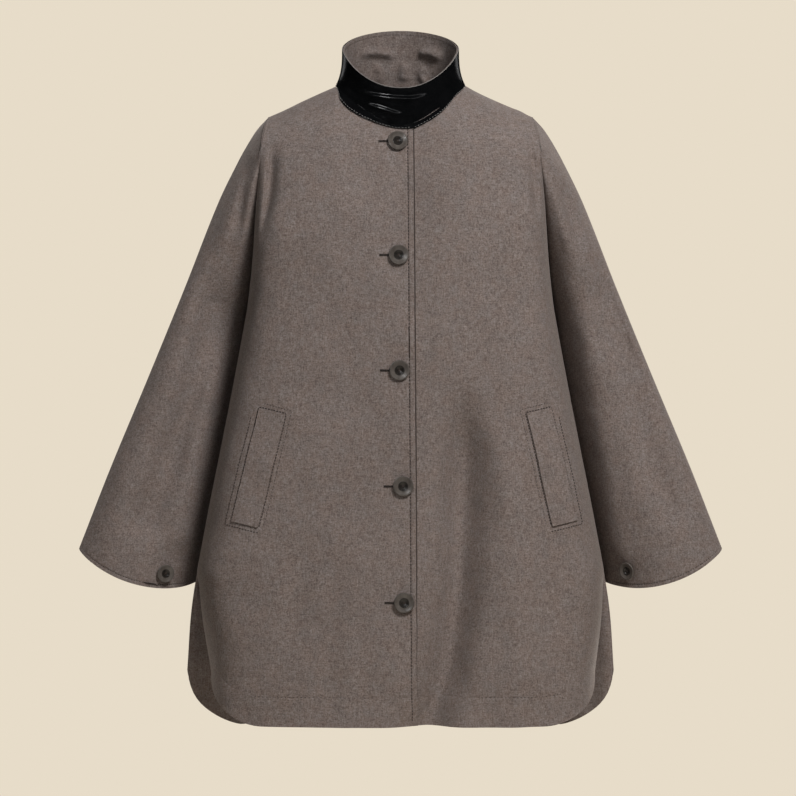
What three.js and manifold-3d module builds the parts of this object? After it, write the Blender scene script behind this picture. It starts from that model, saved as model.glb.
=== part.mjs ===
// Wool cape coat, filled out as if worn, with nobody in it. Millimetres, +Z up.
// The front faces -Y and the wearer's left is +X. The origin is the centre of
// the neck, at the height where the neckline crosses the shoulders.
import * as THREE from "three";
import { mergeVertices } from "three/addons/utils/BufferGeometryUtils.js";
import Module from "manifold-3d";

const wasm = await Module();
wasm.setup();

// Cloth and gaps
const WALL = 2.4; // thickness of the coat's wool
const GAP = 0.3; // clearance between pieces at a seam
const LEATHER_WALL = 1.2;
const COLLAR_WOOL_WALL = 1.8;

// Neck and shoulders
const NECK_HALF_WIDTH = 88;
const NECK_FRONT_DEPTH = 70;
const NECK_BACK_DEPTH = 72;
const NECK_SIDE_Z = 4;
const TIP_X = 178; // where the shoulder turns into the sleeve
const TIP_Z = -37;
const UNDERARM_Z = -295;

// Hem and side vents
const VENT_TOP_Z = -640;
const CORNER_TOP_Z = -783; // where the rounded corners of the hem begin
const FRONT_HEM = { z: -847, cornerWidth: 75 };
const BACK_HEM = { z: -864, cornerWidth: 98 };
const VENT_OPEN_Y = 3; // how far forward of the back's edge the front's edge lies
const VENT_STEP = { left: 26, right: 33 }; // how far a front's edge ends inside the back's

// Front closure: the right front laps over the left one
const EDGE_TOP_X = 16.4;
const EDGE_HEM_X = 22.3;
const UNDERLAP_X = 24; // how far the left front runs under the right one
const UNDER_SHIFT = 3.0; // how much deeper the left front lies there

// Half width of the body, at the crease between body and sleeve and at the side seam
const HALF_WIDTH = table(["z", "width"], [
  [-37, 178],
  [-90, 186],
  [-160, 193.5],
  [-230, 199.5],
  [-295, 208],
  [-418, 229.5],
  [-594, 264],
  [-695, 281.5],
  [-783, 288],
]);

// Depth of the body at its centre, in front and behind
const DEPTH = table(["z", "front", "back"], [
  [-30, 116, 110],
  [-200, 116, 112],
  [-420, 126, 118],
  [-650, 142, 134],
  [-864, 152, 146],
]);

// How the panels curve round: flat is the drop towards the side, corner the
// sharpness of the turn, dome and reach the rounding over the shoulder
const FRONT = { sign: -1, depth: "front", flat: 0.25, corner: 18, dome: 8, reach: [338, 150] };
const BACK = { sign: 1, depth: "back", flat: 0.25, corner: 5, dome: 49, reach: [150, 130] };

// The overarm line of the sleeve, from the shoulder tip to the cuff
const OVERARM = table(["x", "z"], [
  [178, -37],
  [192, -52],
  [204, -70],
  [219, -97],
  [246, -153],
  [290, -265],
  [340, -388],
  [391, -511],
  [433, -619],
]);

// The crease between body and sleeve, in front and behind, down to the underarm,
// and below it the body's side seam and the sleeve's inner seam
const CREASE = table(["z", "front", "back"], [
  [-97, -52, 54],
  [-150, -32, 54],
  [-200, -10, 52],
  [-250, 13, 46],
  [-295, 33, 33],
]);
const SEAMS = table(["z", "body", "sleeve"], [
  [-295, 33, 33],
  [-340, 18, 41],
  [-400, 6, 42],
  [-480, 0, 42],
  [-664, 0, 42],
]);
const CREASE_START = 60; // height over which the crease sinks in below the shoulder tip

// The sleeve below the underarm
const CUFF_INNER_Z = -664;
const CUFF_SAG = 24; // how far the cuff's edge hangs below a straight line
const OVERARM_CUFF_Y = -12;
const TUCK_X = -2; // the sleeve's inner seam against the body's side
const SLEEVE_BULGE = table(["z", "bulge"], [
  [-37, 0],
  [-97, 16],
  [-166, 30],
  [-230, 39],
  [-295, 44],
  [-480, 50],
  [-664, 56],
]);

// The stand collar's rim
const RIM = { halfWidth: 79, front: 73, back: 70, zFront: -4, zSide: 55, zBack: 87 };
const COLLAR_END_X = 10; // upper end, in front
const COLLAR_UNDER_X = -16; // lower end, tucked under it
const COLLAR_SHIFT = 4.2;
const COLLAR_GAP = 0.8; // above the neckline, whose front and collar turn differently

// Largest folds: where each runs in the front view, and its shape. A positive
// height is a ridge and a negative one a trough.
const FOLDS = [
  {
    height: -13,
    width: 17,
    path: [[100, -440], [104, -510], [98, -608], [90, -690], [72, -780], [52, -850]],
  },
  { height: 7, width: 22, path: [[139, -470], [146, -560], [150, -680], [148, -850]] },
  { height: -9, width: 7, path: [[178, -62], [178, -100], [181, -142], [184, -170], [191, -200]] },
  { height: -11, width: 8, path: [[-163, -78], [-168, -112], [-171, -142], [-178, -176], [-188, -217]] },
];
const FOLD_FADE = 45; // length over which a fold begins and ends
const SLEEVE_FOLDS = [
  { at: 0.3, width: 0.12, height: 6 },
  { at: 0.6, width: 0.13, height: -7 },
];

const BUTTON = { radius: 13.5, thick: 4.2, dish: 1.3 };
const CUFF_BUTTON = { radius: 12, thick: 3.8, dish: 1.2 };
const BUTTON_PLACES = table(["x", "z"], [
  [-3.9, -76],
  [-2.6, -228],
  [-1.3, -380],
  [3.3, -532],
  [4.6, -684],
]);
const CUFF_BUTTON_PLACES = { right: { x: -316, z: -651 }, left: { x: 306, z: -648 } };
const WELTS = {
  right: { x: -187, z: -508, width: 36, length: 154, slant: 13.6 },
  left: { x: 199, z: -507, width: 34, length: 153, slant: -12.8 },
};
const WELT_THICK = 2.6;

const HANDS = [["right", -1], ["left", 1]]; // the wearer's hands, and the sign of x on each side

function table(columns, rows) {
  return rows.map((row) => Object.fromEntries(columns.map((name, i) => [name, row[i]])));
}

const clamp = (v, lo, hi) => Math.min(hi, Math.max(lo, v));
const lerp = (a, b, t) => a + (b - a) * t;
const smooth = (t) => {
  const c = clamp(t, 0, 1);
  return c * c * (3 - 2 * c);
};

// A smooth value between the rows of a table, along its column key
function between(rows, key, column, at) {
  const rising = rows[rows.length - 1][key] > rows[0][key] ? 1 : -1;
  const last = rows.length - 1;
  if ((at - rows[0][key]) * rising <= 0) return rows[0][column];
  if ((at - rows[last][key]) * rising >= 0) return rows[last][column];
  let i = 0;
  while ((at - rows[i + 1][key]) * rising > 0) i++;
  const slope = (k) => {
    const a = rows[Math.max(k - 1, 0)];
    const b = rows[Math.min(k + 1, last)];
    return (b[column] - a[column]) / (b[key] - a[key]);
  };
  const [a, b] = [rows[i], rows[i + 1]];
  const step = b[key] - a[key];
  const t = (at - a[key]) / step;
  const [t2, t3] = [t * t, t * t * t];
  return (
    (2 * t3 - 3 * t2 + 1) * a[column] +
    (t3 - 2 * t2 + t) * step * slope(i) +
    (3 * t2 - 2 * t3) * b[column] +
    (t3 - t2) * step * slope(i + 1)
  );
}

const halfWidth = (z) => between(HALF_WIDTH, "z", "width", z);
function vent(z, step) {
  const t = clamp((VENT_TOP_Z - z) / (VENT_TOP_Z - CORNER_TOP_Z), 0, 1);
  return step * t * smooth(t * 5);
}

// Height of the shoulder line above x, carried on across the neck as a dome
function shoulderZ(x, side) {
  const s = Math.abs(x);
  if (s < NECK_HALF_WIDTH) return NECK_SIDE_Z + side.dome * (1 - (s / NECK_HALF_WIDTH) ** 2);
  return lerp(NECK_SIDE_Z, TIP_Z, ((s - NECK_HALF_WIDTH) / (TIP_X - NECK_HALF_WIDTH)) ** 0.95);
}

const shoulderReach = (x, side) => lerp(...side.reach, clamp(Math.abs(x) / TIP_X, 0, 1));

// Where the side of a body panel lies: the crease, and below the underarm the side seam
function sideY(z, side) {
  if (z <= UNDERARM_Z) return between(SEAMS, "z", "body", z);
  const start = clamp((TIP_Z - z) / CREASE_START, 0, 1);
  return between(CREASE, "z", side.depth, z) * Math.sqrt(1 - (1 - start) ** 2);
}

// Distance of (x, z) from a fold's path, signed the same way all along, and
// how far along the path it is
function foldAmount(fold, x, z) {
  let best = Infinity;
  let along = 0;
  let walked = 0;
  for (let i = 0; i + 1 < fold.path.length; i++) {
    const [ax, az] = fold.path[i];
    const [bx, bz] = fold.path[i + 1];
    const length = Math.hypot(bx - ax, bz - az);
    const t = clamp(((x - ax) * (bx - ax) + (z - az) * (bz - az)) / length ** 2, 0, 1);
    const d = Math.hypot(x - lerp(ax, bx, t), z - lerp(az, bz, t));
    if (d < best) {
      best = d;
      along = walked + t * length;
    }
    walked += length;
  }
  const openEnd = fold.path[fold.path.length - 1][1] < -840;
  const fade = smooth(along / FOLD_FADE) * (openEnd ? 1 : smooth((walked - along) / FOLD_FADE));
  return fold.height * Math.exp(-((best / fold.width) ** 2)) * fade;
}

// Depth of the body's surface at (x, z), for the front or the back panel
function bodyY(x, z, side, width) {
  const u = clamp(Math.abs(x) / width, 0, 1);
  const t = clamp((shoulderZ(x, side) - z) / shoulderReach(x, side), 0, 1);
  const over = Math.sqrt(1 - (1 - t) ** 2);
  const full = between(DEPTH, "z", side.depth, z) * (1 - side.flat * u * u) * over;
  const crease = side.sign * sideY(z, side);
  const turn = Math.sqrt(1 - u ** side.corner);
  let depth = crease + (full - crease) * turn;
  if (side === FRONT) {
    for (const fold of FOLDS) depth += foldAmount(fold, x, z) * smooth((1 - u) * 12);
  }
  return side.sign * depth;
}

// The neckline: an oval in plan, laid on the body's surface
function neckPoint(angle, side) {
  const x = NECK_HALF_WIDTH * Math.sin(angle);
  const depth = side === FRONT ? NECK_FRONT_DEPTH : NECK_BACK_DEPTH;
  const y = depth * Math.max(Math.cos(angle), 0) ** 0.92;
  const u = Math.abs(x) / TIP_X;
  const full = between(DEPTH, "z", side.depth, 0) * (1 - side.flat * u * u);
  const t = 1 - Math.sqrt(1 - clamp(y / full, 0, 1) ** 2);
  return [x, side.sign * y, shoulderZ(x, side) - shoulderReach(x, side) * t];
}

// Columns of a panel from its centre to its side: each starts at the top, on
// the neckline or the shoulder seam, and runs down at its share of the width
const UNDERLAP_ANGLE = Math.asin(UNDERLAP_X / NECK_HALF_WIDTH);
const NECK_STEPS = 5;
const NECK_SHARE = 0.55;
const SIDE_SHARES = [0.64, 0.73, 0.81, 0.87, 0.915, 0.95, 0.98, 1];

function columns() {
  const list = [{ angle: 0, share: 0 }, { angle: UNDERLAP_ANGLE, share: 0.11 }];
  for (let i = 1; i <= NECK_STEPS; i++) {
    const t = i / NECK_STEPS;
    list.push({ angle: lerp(UNDERLAP_ANGLE, Math.PI / 2, t), share: lerp(0.11, NECK_SHARE, t) });
  }
  for (const share of SIDE_SHARES) {
    const x = lerp(NECK_HALF_WIDTH, TIP_X, (share - NECK_SHARE) / (1 - NECK_SHARE));
    list.push({ x, share });
  }
  return list;
}

// The left front carries the large fold, so it has a column between each two up
// to FINE_SHARE. At the neckline the new points lie on the straight line between.
const FINE_SHARE = 0.52;

function refined(row, rowNumber, compute) {
  const line = [row[0]];
  const all = columns();
  for (let i = 1; i < all.length; i++) {
    const share = (all[i - 1].share + all[i].share) / 2;
    if (i > 1 && share < FINE_SHARE) {
      const middle = row[i].map((v, k) => (v + row[i - 1][k]) / 2);
      line.push(rowNumber === 0 ? middle : compute(middle));
    }
    line.push(row[i]);
  }
  return line;
}

// Heights of the rows at the side: shoulder tip to underarm, to the vent, to the hem's corner
const ARM_ROWS = 8;
const SIDE_ROWS = 8;
const HEM_ROWS = 4;

function rowHeights() {
  const list = [];
  for (let i = 0; i <= ARM_ROWS; i++) {
    list.push(lerp(TIP_Z, UNDERARM_Z, (1 - Math.cos((Math.PI * i) / ARM_ROWS)) / 2));
  }
  for (let i = 1; i <= SIDE_ROWS; i++) list.push(lerp(UNDERARM_Z, VENT_TOP_Z, i / SIDE_ROWS));
  for (let i = 1; i <= HEM_ROWS; i++) list.push(lerp(VENT_TOP_Z, CORNER_TOP_Z, i / HEM_ROWS));
  return list;
}

const ROW_Z = rowHeights();
const shareDown = (j) => (ROW_Z[j] - TIP_Z) / (CORNER_TOP_Z - TIP_Z);

// Height of the hem at x, with its rounded corner
function hemZ(x, hem, width) {
  const t = clamp((Math.abs(x) - (width - hem.cornerWidth)) / hem.cornerWidth, 0, 1);
  return hem.z + (CORNER_TOP_Z - hem.z) * (1 - Math.sqrt(1 - t * t));
}

// The x of the front edge of the right front, and of its columns over the centre
const edgeX = (z) => lerp(EDGE_TOP_X, EDGE_HEM_X, clamp(-z / 847, 0, 1));

function bodyPoint(column, j, side, mirror, step) {
  const v = shareDown(j);
  const hem = side === FRONT ? FRONT_HEM : BACK_HEM;
  const bottomWidth = halfWidth(CORNER_TOP_Z) - (side === FRONT ? vent(CORNER_TOP_Z, step) : 0);
  const neck = column.angle === undefined ? null : neckPoint(column.angle, side);
  const topX = neck ? neck[0] : column.x;
  const topZ = neck ? neck[2] : shoulderZ(column.x, side);
  const z = lerp(topZ, hemZ(column.share * bottomWidth, hem, bottomWidth), v);
  const width = halfWidth(z) - (side === FRONT ? vent(z, step) : 0);
  const x = lerp(topX / TIP_X, column.share, smooth(v / 0.3)) * width;
  if (j === 0) return [mirror * topX, neck ? neck[1] : 0, topZ];
  const open = side === FRONT && column.share === 1 ? clamp((VENT_TOP_Z - z) / 30, 0, 1) : 0;
  return [mirror * x, bodyY(mirror * x, z, side, width) - VENT_OPEN_Y * open, z];
}

// The point at arc length share t of the overarm line
function overarm(t) {
  const lengths = [0];
  for (let i = 1; i < OVERARM.length; i++) {
    const step = Math.hypot(OVERARM[i].x - OVERARM[i - 1].x, OVERARM[i].z - OVERARM[i - 1].z);
    lengths.push(lengths[i - 1] + step);
  }
  const rows = OVERARM.map((row, i) => ({ ...row, s: lengths[i] / lengths[lengths.length - 1] }));
  return [between(rows, "s", "x", t), between(rows, "s", "z", t)];
}

// Rows of the sleeve: the body's own rows down to the underarm, then its own to the cuff
const SLEEVE_ROWS = 10;
const SLEEVE_SHARES = [0, 0.04, 0.12, 0.25, 0.38, 0.51, 0.64, 0.78, 0.92, 1];

function sleevePoint(share, k, side, mirror) {
  const above = k <= ARM_ROWS;
  const below = k - ARM_ROWS;
  const z = above ? ROW_Z[k] : lerp(UNDERARM_Z, CUFF_INNER_Z, (below / SLEEVE_ROWS) ** 1.5);
  const down = (TIP_Z - z) / (TIP_Z - CUFF_INNER_Z);
  const apart = above ? 0 : UNDERARM_Z - z;
  const inner = {
    x: halfWidth(z) + lerp(4, TUCK_X, smooth(apart / 90)) * Math.min(apart / 6, 1),
    y: above ? sideY(z, side) : between(SEAMS, "z", "sleeve", z),
  };
  const [outerX, outerZ] = overarm(down);
  const outerY = OVERARM_CUFF_Y * down;
  const bulge = between(SLEEVE_BULGE, "z", "bulge", z) * (4 * share * (1 - share)) ** 0.6;
  let y = lerp(inner.y, outerY, share ** 0.8) + side.sign * bulge;
  for (const fold of SLEEVE_FOLDS) {
    const across = Math.exp(-(((share - fold.at) / fold.width) ** 2));
    y += side.sign * fold.height * across * smooth(down * 3) * smooth(share * 8) * smooth((1 - share) * 8);
  }
  const sag = CUFF_SAG * down ** 2 * (4 * share * (1 - share)) ** 0.8;
  return [mirror * lerp(inner.x, outerX, share), y, lerp(z, outerZ, share) - sag];
}

// A sheet collects points and faces; points at the same place are one point
class Sheet {
  constructor() {
    this.points = [];
    this.faces = [];
    this.index = new Map();
  }
  add(p) {
    const key = p.map((v) => Math.round(v * 1e4)).join();
    if (!this.index.has(key)) {
      this.index.set(key, this.points.length);
      this.points.push(p);
    }
    return this.index.get(key);
  }
  triangle(a, b, c, node) {
    if (a !== b && b !== c && a !== c) this.faces.push({ node, v: [a, b, c] });
  }
  // rows of points, joined by triangles; flip turns the faces over
  grid(rows, node, flip) {
    const ids = rows.map((row) => row.map((p) => this.add(p)));
    for (let j = 0; j + 1 < ids.length; j++) {
      for (let i = 0; i + 1 < ids[j].length; i++) {
        const [a, b, c, d] = [ids[j][i], ids[j][i + 1], ids[j + 1][i + 1], ids[j + 1][i]];
        if (flip) {
          this.triangle(a, b, c, node);
          this.triangle(a, c, d, node);
        } else {
          this.triangle(a, c, b, node);
          this.triangle(a, d, c, node);
        }
      }
    }
  }
  normals() {
    const list = this.points.map(() => new THREE.Vector3());
    const [p, q, r] = [new THREE.Vector3(), new THREE.Vector3(), new THREE.Vector3()];
    for (const { v } of this.faces) {
      p.fromArray(this.points[v[0]]);
      q.fromArray(this.points[v[1]]).sub(p);
      r.fromArray(this.points[v[2]]).sub(p);
      q.cross(r);
      for (const id of v) list[id].add(q);
    }
    return list.map((n) => n.normalize());
  }
}

function geometryOf(points, triangles) {
  const geometry = new THREE.BufferGeometry();
  geometry.setAttribute("position", new THREE.Float32BufferAttribute(points.flat(), 3));
  geometry.setIndex(triangles.flat());
  return geometry;
}

// Turns a node's faces into a closed wall. The outer face is raised by lift,
// the inner one lies thick below it, and seam points give way by half a gap.
function thicken(sheet, normals, node, thick, lift = 0, give = () => [0, 0, 0]) {
  const faces = sheet.faces.filter((face) => face.node === node).map((face) => face.v);
  const used = [...new Set(faces.flat())];
  const place = new Map(used.map((id, i) => [id, i]));
  const edges = new Map();
  for (const v of faces) {
    for (let i = 0; i < 3; i++) edges.set(`${v[i]},${v[(i + 1) % 3]}`, [v[i], v[(i + 1) % 3]]);
  }
  const rim = [...edges.values()].filter(([a, b]) => !edges.has(`${b},${a}`));
  const onRim = new Set(rim.flat());
  const move = (id, by) => {
    const [p, n] = [sheet.points[id], normals[id]];
    const g = onRim.has(id) ? give(p) : [0, 0, 0];
    return [p[0] + n.x * by + g[0], p[1] + n.y * by + g[1], p[2] + n.z * by + g[2]];
  };
  const points = [...used.map((id) => move(id, lift)), ...used.map((id) => move(id, lift - thick))];
  const inner = used.length;
  const triangles = faces.map((v) => v.map((id) => place.get(id)));
  const back = triangles.map(([a, b, c]) => [a + inner, c + inner, b + inner]);
  // both pieces at a seam split its wall along the same diagonal
  const walls = rim.flatMap(([a, b]) => {
    const [p, q] = [place.get(a), place.get(b)];
    if (a < b) return [[q, p, p + inner], [q, p + inner, q + inner]];
    return [[q, p, q + inner], [p, p + inner, q + inner]];
  });
  return geometryOf(points, [...triangles, ...back, ...walls]);
}

// The whole coat as one sheet, its faces marked with the node they belong to
function coatSheet() {
  const sheet = new Sheet();
  const all = columns();
  const rows = ROW_Z.map((_, j) => j);
  const sleeveRows = Array.from({ length: ARM_ROWS + SLEEVE_ROWS + 1 }, (_, k) => k);
  for (const [hand, mirror] of HANDS) {
    const node = `front_${hand}`;
    const step = VENT_STEP[hand];
    const over = hand === "right";
    const grid = rows.map((j) => {
      const main = all.map((column) => bodyPoint(column, j, FRONT, mirror, step));
      const shared = (x) => {
        const top = neckPoint(Math.asin(x / NECK_HALF_WIDTH), FRONT);
        const z = j === 0 ? top[2] : lerp(top[2], FRONT_HEM.z, shareDown(j));
        return [x, j === 0 ? top[1] : bodyY(x, z, FRONT, halfWidth(z)), z];
      };
      const z = main[0][2];
      const centre = over ? [shared(edgeX(z)), ...main] : [shared(-UNDERLAP_X), shared(0), shared(edgeX(z))];
      if (over) return centre;
      const fine = refined(main, j, ([x, , height]) => {
        const width = halfWidth(height) - vent(height, step);
        return [x, bodyY(x, height, FRONT, width), height];
      });
      const line = [...centre, shared(edgeX(z) + 3), ...fine.slice(2)];
      return line.map(([x, y, height]) => {
        const deeper = 1 - smooth((x - edgeX(z) - 3) / 34);
        return [x, y + UNDER_SHIFT * deeper, height];
      });
    });
    sheet.grid(grid, node, mirror < 0);
    const sleeve = sleeveRows.map((k) => SLEEVE_SHARES.map((s) => sleevePoint(s, k, FRONT, mirror)));
    sheet.grid(sleeve, `sleeve_${hand}`, mirror < 0);
  }
  for (const [hand, mirror] of HANDS) {
    sheet.grid(
      rows.map((j) => all.map((column) => bodyPoint(column, j, BACK, mirror, 0))),
      "back",
      mirror > 0,
    );
    const sleeve = sleeveRows.map((k) => SLEEVE_SHARES.map((s) => sleevePoint(s, k, BACK, mirror)));
    sheet.grid(sleeve, `sleeve_${hand}`, mirror > 0);
  }
  return sheet;
}

const sheet = coatSheet();
const normals = sheet.normals();
// At the underarm the sheet turns like a saddle, and its outside looks down
for (const [, mirror] of HANDS) {
  normals[sheet.add([mirror * halfWidth(UNDERARM_Z), sideY(UNDERARM_Z), UNDERARM_Z])].set(0, 0, -1);
}

const material = (color, roughness, metalness = 0) =>
  new THREE.MeshStandardMaterial({ color, roughness, metalness });
const wool = () => material(0x6f655f, 0.95);

const coat = new THREE.Group();
function addPiece(name, geometry, look) {
  const mesh = new THREE.Mesh(geometry, look);
  mesh.name = name;
  coat.add(mesh);
  return mesh;
}

// At a seam each piece gives way by half the gap, the front from the back along Y
// and the body from the sleeve along X, and by more at the underarm, where four
// seams meet. The shoulder's tip and the underarm lie on both kinds of seam.
function seamGive(yWay, xWay) {
  return ([x, , z]) => {
    const onCrease = z > UNDERARM_Z - 1 && Math.abs(Math.abs(x) - halfWidth(z)) < 0.01;
    const atUnderarm = onCrease && z < UNDERARM_Z + 1;
    const atTip = onCrease && z > TIP_Z - 1;
    const half = GAP * (atUnderarm ? 2 : 0.5);
    const along = onCrease ? xWay * Math.sign(x) * half : 0;
    return [along, !onCrease || atUnderarm || atTip ? yWay * half : 0, 0];
  };
}
function addCloth(name, yWay, xWay) {
  addPiece(name, thicken(sheet, normals, name, WALL, 0, seamGive(yWay, xWay)), wool());
}
addCloth("front_right", -1, -1);
addCloth("front_left", -1, -1);
addCloth("back", 1, -1);
for (const [hand] of HANDS) addCloth(`sleeve_${hand}`, 0, 1);

// The stand collar, from its upper end in front, round the back, to its lower end
function collarAngles() {
  const quarter = columns().filter((c) => c.angle !== undefined).map((c) => c.angle);
  const start = -Math.asin(COLLAR_END_X / NECK_HALF_WIDTH);
  const end = 2 * Math.PI + Math.asin(-COLLAR_UNDER_X / NECK_HALF_WIDTH);
  const half = [...quarter, ...quarter.slice(0, -1).reverse().map((a) => Math.PI - a)];
  const other = half.slice(0, -1).reverse().map((a) => 2 * Math.PI - a);
  return [start, ...half, ...other, end];
}

function collarPoint(angle, t) {
  const side = Math.cos(angle) >= 0 ? FRONT : BACK;
  const tilt = Math.asin(clamp(Math.sin(angle), -1, 1));
  const [neckX, neckY, neckZ] = neckPoint(tilt, side);
  const front = side === FRONT;
  const c = Math.abs(Math.cos(angle));
  const rimX = RIM.halfWidth * Math.sin(angle);
  const rimY = side.sign * (front ? RIM.front : RIM.back) * c;
  const rimZ = front ? lerp(RIM.zSide, RIM.zFront, c ** 1.4) : lerp(RIM.zSide, RIM.zBack, c);
  const ease = 1 - (1 - t) ** 3;
  const under = smooth((angle - (2 * Math.PI - 0.75)) / 0.5) * COLLAR_SHIFT;
  const y = lerp(neckY, rimY, ease) + under;
  return [-lerp(neckX, rimX, ease), y, lerp(neckZ + COLLAR_GAP, rimZ, t)];
}

const COLLAR_ROWS = [0, 0.12, 0.3, 0.6, 1];
function collarSheet() {
  const ring = new Sheet();
  ring.grid(COLLAR_ROWS.map((t) => collarAngles().map((a) => collarPoint(a, t))), "collar", true);
  return ring;
}

const ring = collarSheet();
// The collar's layers lie beside each other level, so their lower edges follow the neckline
const ringNormals = ring.normals().map((n) => n.setZ(0).normalize());
addPiece("collar_outer", thicken(ring, ringNormals, "collar", LEATHER_WALL), material(0x0b0c0d, 0.22));
addPiece(
  "collar_inner",
  thicken(ring, ringNormals, "collar", COLLAR_WOOL_WALL, -LEATHER_WALL - GAP),
  wool(),
);

function solidOf(geometry) {
  const bare = geometry.clone();
  bare.deleteAttribute("normal");
  bare.deleteAttribute("uv");
  const merged = mergeVertices(bare, 1e-4);
  const vertProperties = new Float32Array(merged.attributes.position.array);
  const triVerts = new Uint32Array(merged.index.array);
  return new wasm.Manifold(new wasm.Mesh({ numProp: 3, vertProperties, triVerts }));
}

function geometryFrom(solid) {
  const mesh = solid.getMesh();
  const geometry = new THREE.BufferGeometry();
  geometry.setAttribute("position", new THREE.Float32BufferAttribute(mesh.vertProperties, 3));
  geometry.setIndex(new THREE.Uint32BufferAttribute(mesh.triVerts, 1));
  return geometry;
}

// A welt is a piece of the panel's own surface, moved out
function welt(node, place) {
  const layer = solidOf(thicken(sheet, normals, node, WELT_THICK, GAP + WELT_THICK));
  const block = new THREE.BoxGeometry(place.width, 400, place.length);
  block.rotateY(THREE.MathUtils.degToRad(place.slant));
  block.translate(place.x, -210, place.z);
  return geometryFrom(layer.intersect(solidOf(block)));
}
addPiece("welt_right", welt("front_right", WELTS.right), wool());
addPiece("welt_left", welt("front_left", WELTS.left), wool());

// The point and the outward normal where a line along Y at (x, z) meets a node's outer face
function frontOf(node, x, z) {
  let found = null;
  const [a, b, c] = [new THREE.Vector3(), new THREE.Vector3(), new THREE.Vector3()];
  for (const face of sheet.faces) {
    if (face.node !== node) continue;
    [a, b, c].forEach((v, i) => v.fromArray(sheet.points[face.v[i]]));
    const area = (b.x - a.x) * (c.z - a.z) - (c.x - a.x) * (b.z - a.z);
    const s = ((x - a.x) * (c.z - a.z) - (c.x - a.x) * (z - a.z)) / area;
    const t = ((b.x - a.x) * (z - a.z) - (x - a.x) * (b.z - a.z)) / area;
    if (!(s >= 0 && t >= 0 && s + t <= 1)) continue;
    const y = a.y + s * (b.y - a.y) + t * (c.y - a.y);
    if (found && found.point.y < y) continue;
    const normal = b.clone().sub(a).cross(c.clone().sub(a)).normalize();
    found = { point: new THREE.Vector3(x, y, z), normal };
  }
  return found;
}

function buttonGeometry({ radius, thick, dish }) {
  const profile = [
    [0, 0],
    [radius * 0.8, 0],
    [radius, thick * 0.45],
    [radius * 0.94, thick],
    [radius * 0.72, thick],
    [radius * 0.58, thick - dish],
    [0, thick - dish],
  ].map(([r, h]) => new THREE.Vector2(r, h));
  return new THREE.LatheGeometry(profile, 18);
}

// A button sits on the cloth, as high as its own width needs over the cloth's curve
function addButton(name, size, node, x, z) {
  const { point, normal } = frontOf(node, x, z);
  let rise = 0;
  for (let i = 0; i < 16; i++) {
    const turn = (Math.PI * 2 * i) / 16;
    const r = size.radius * 0.9;
    const near = frontOf(node, x + r * Math.cos(turn), z + r * Math.sin(turn));
    if (near) rise = Math.max(rise, near.point.sub(point).dot(normal));
  }
  const mesh = addPiece(name, buttonGeometry(size), material(0x2b2a2a, 0.4));
  mesh.quaternion.setFromUnitVectors(new THREE.Vector3(0, 1, 0), normal);
  mesh.position.copy(point).addScaledVector(normal, rise + GAP);
}
BUTTON_PLACES.forEach(({ x, z }, i) => addButton(`button_${i + 1}`, BUTTON, "front_right", x, z));
for (const [hand, { x, z }] of Object.entries(CUFF_BUTTON_PLACES)) {
  addButton(`cuff_button_${hand}`, CUFF_BUTTON, `sleeve_${hand}`, x, z);
}

export default coat;
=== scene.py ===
"""Wool cape coat with a leather stand collar, filled out as if worn, with nobody in it.

The front faces -Y and the wearer's left is +X. Sizes are in millimetres, and a
mesh is turned into metres when its object is made.
"""

import math
from types import SimpleNamespace

import bpy
import numpy as np
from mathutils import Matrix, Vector


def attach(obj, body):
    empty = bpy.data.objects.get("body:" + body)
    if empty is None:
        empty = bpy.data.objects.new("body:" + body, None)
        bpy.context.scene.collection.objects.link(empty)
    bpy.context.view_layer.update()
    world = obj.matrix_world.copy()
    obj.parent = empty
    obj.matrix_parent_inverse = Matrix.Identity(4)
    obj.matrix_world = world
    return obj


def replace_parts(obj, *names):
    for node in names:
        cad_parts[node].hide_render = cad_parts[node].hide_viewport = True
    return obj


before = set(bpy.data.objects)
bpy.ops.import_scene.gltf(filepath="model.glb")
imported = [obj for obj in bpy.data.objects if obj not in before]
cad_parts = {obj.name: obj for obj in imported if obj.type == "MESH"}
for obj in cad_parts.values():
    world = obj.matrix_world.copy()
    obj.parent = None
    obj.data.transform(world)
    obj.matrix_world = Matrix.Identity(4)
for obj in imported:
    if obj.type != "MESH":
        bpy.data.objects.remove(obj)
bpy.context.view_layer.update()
MM = 0.001

# Cloth and leather
WALL = 2.4
SEAM_GAP = 0.3
LEATHER_WALL = 1.2
COLLAR_WOOL_WALL = 1.8

# Neck and shoulders
NECK_HALF_WIDTH = 88
NECK_FRONT_DEPTH = 70
NECK_BACK_DEPTH = 72
NECK_SIDE_Z = 4
NECK_ROUNDING = 0.92  # exponent of the neckline's curve, 1 for an ellipse
SHOULDER_ROUNDING = 0.95  # exponent of the shoulder's fall, 1 for a straight one
TIP_X = 178
TIP_Z = -37
UNDERARM_Z = -295

# Hem and side vents
VENT_TOP_Z = -640
CORNER_TOP_Z = -783
FRONT_HEM = SimpleNamespace(z=-847, corner_width=75)
BACK_HEM = SimpleNamespace(z=-864, corner_width=98)
VENT_OPEN_Y = 3
VENT_STEP = {-1: 33, 1: 26}
HEM_STITCH = 39.2  # height of the hem's stitching
HEM_HALF_WIDTH = 260
UNDERLAP = SimpleNamespace(width=112, depth=42, rise=11, bulge=6, thick=1.8)

# Front closure
EDGE_TOP_X = 16.4
EDGE_HEM_X = 22.3
EDGE_STITCH = 7.4  # from the front edge to its topstitching
UNDERLAP_X = 24
UNDER_SHIFT = 3.0

# Height, and half width of the body
HALF_WIDTH = np.array([
    [-37, 178], [-90, 186], [-160, 193.5], [-230, 199.5], [-295, 208],
    [-418, 229.5], [-594, 264], [-695, 281.5], [-783, 288],
])
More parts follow.
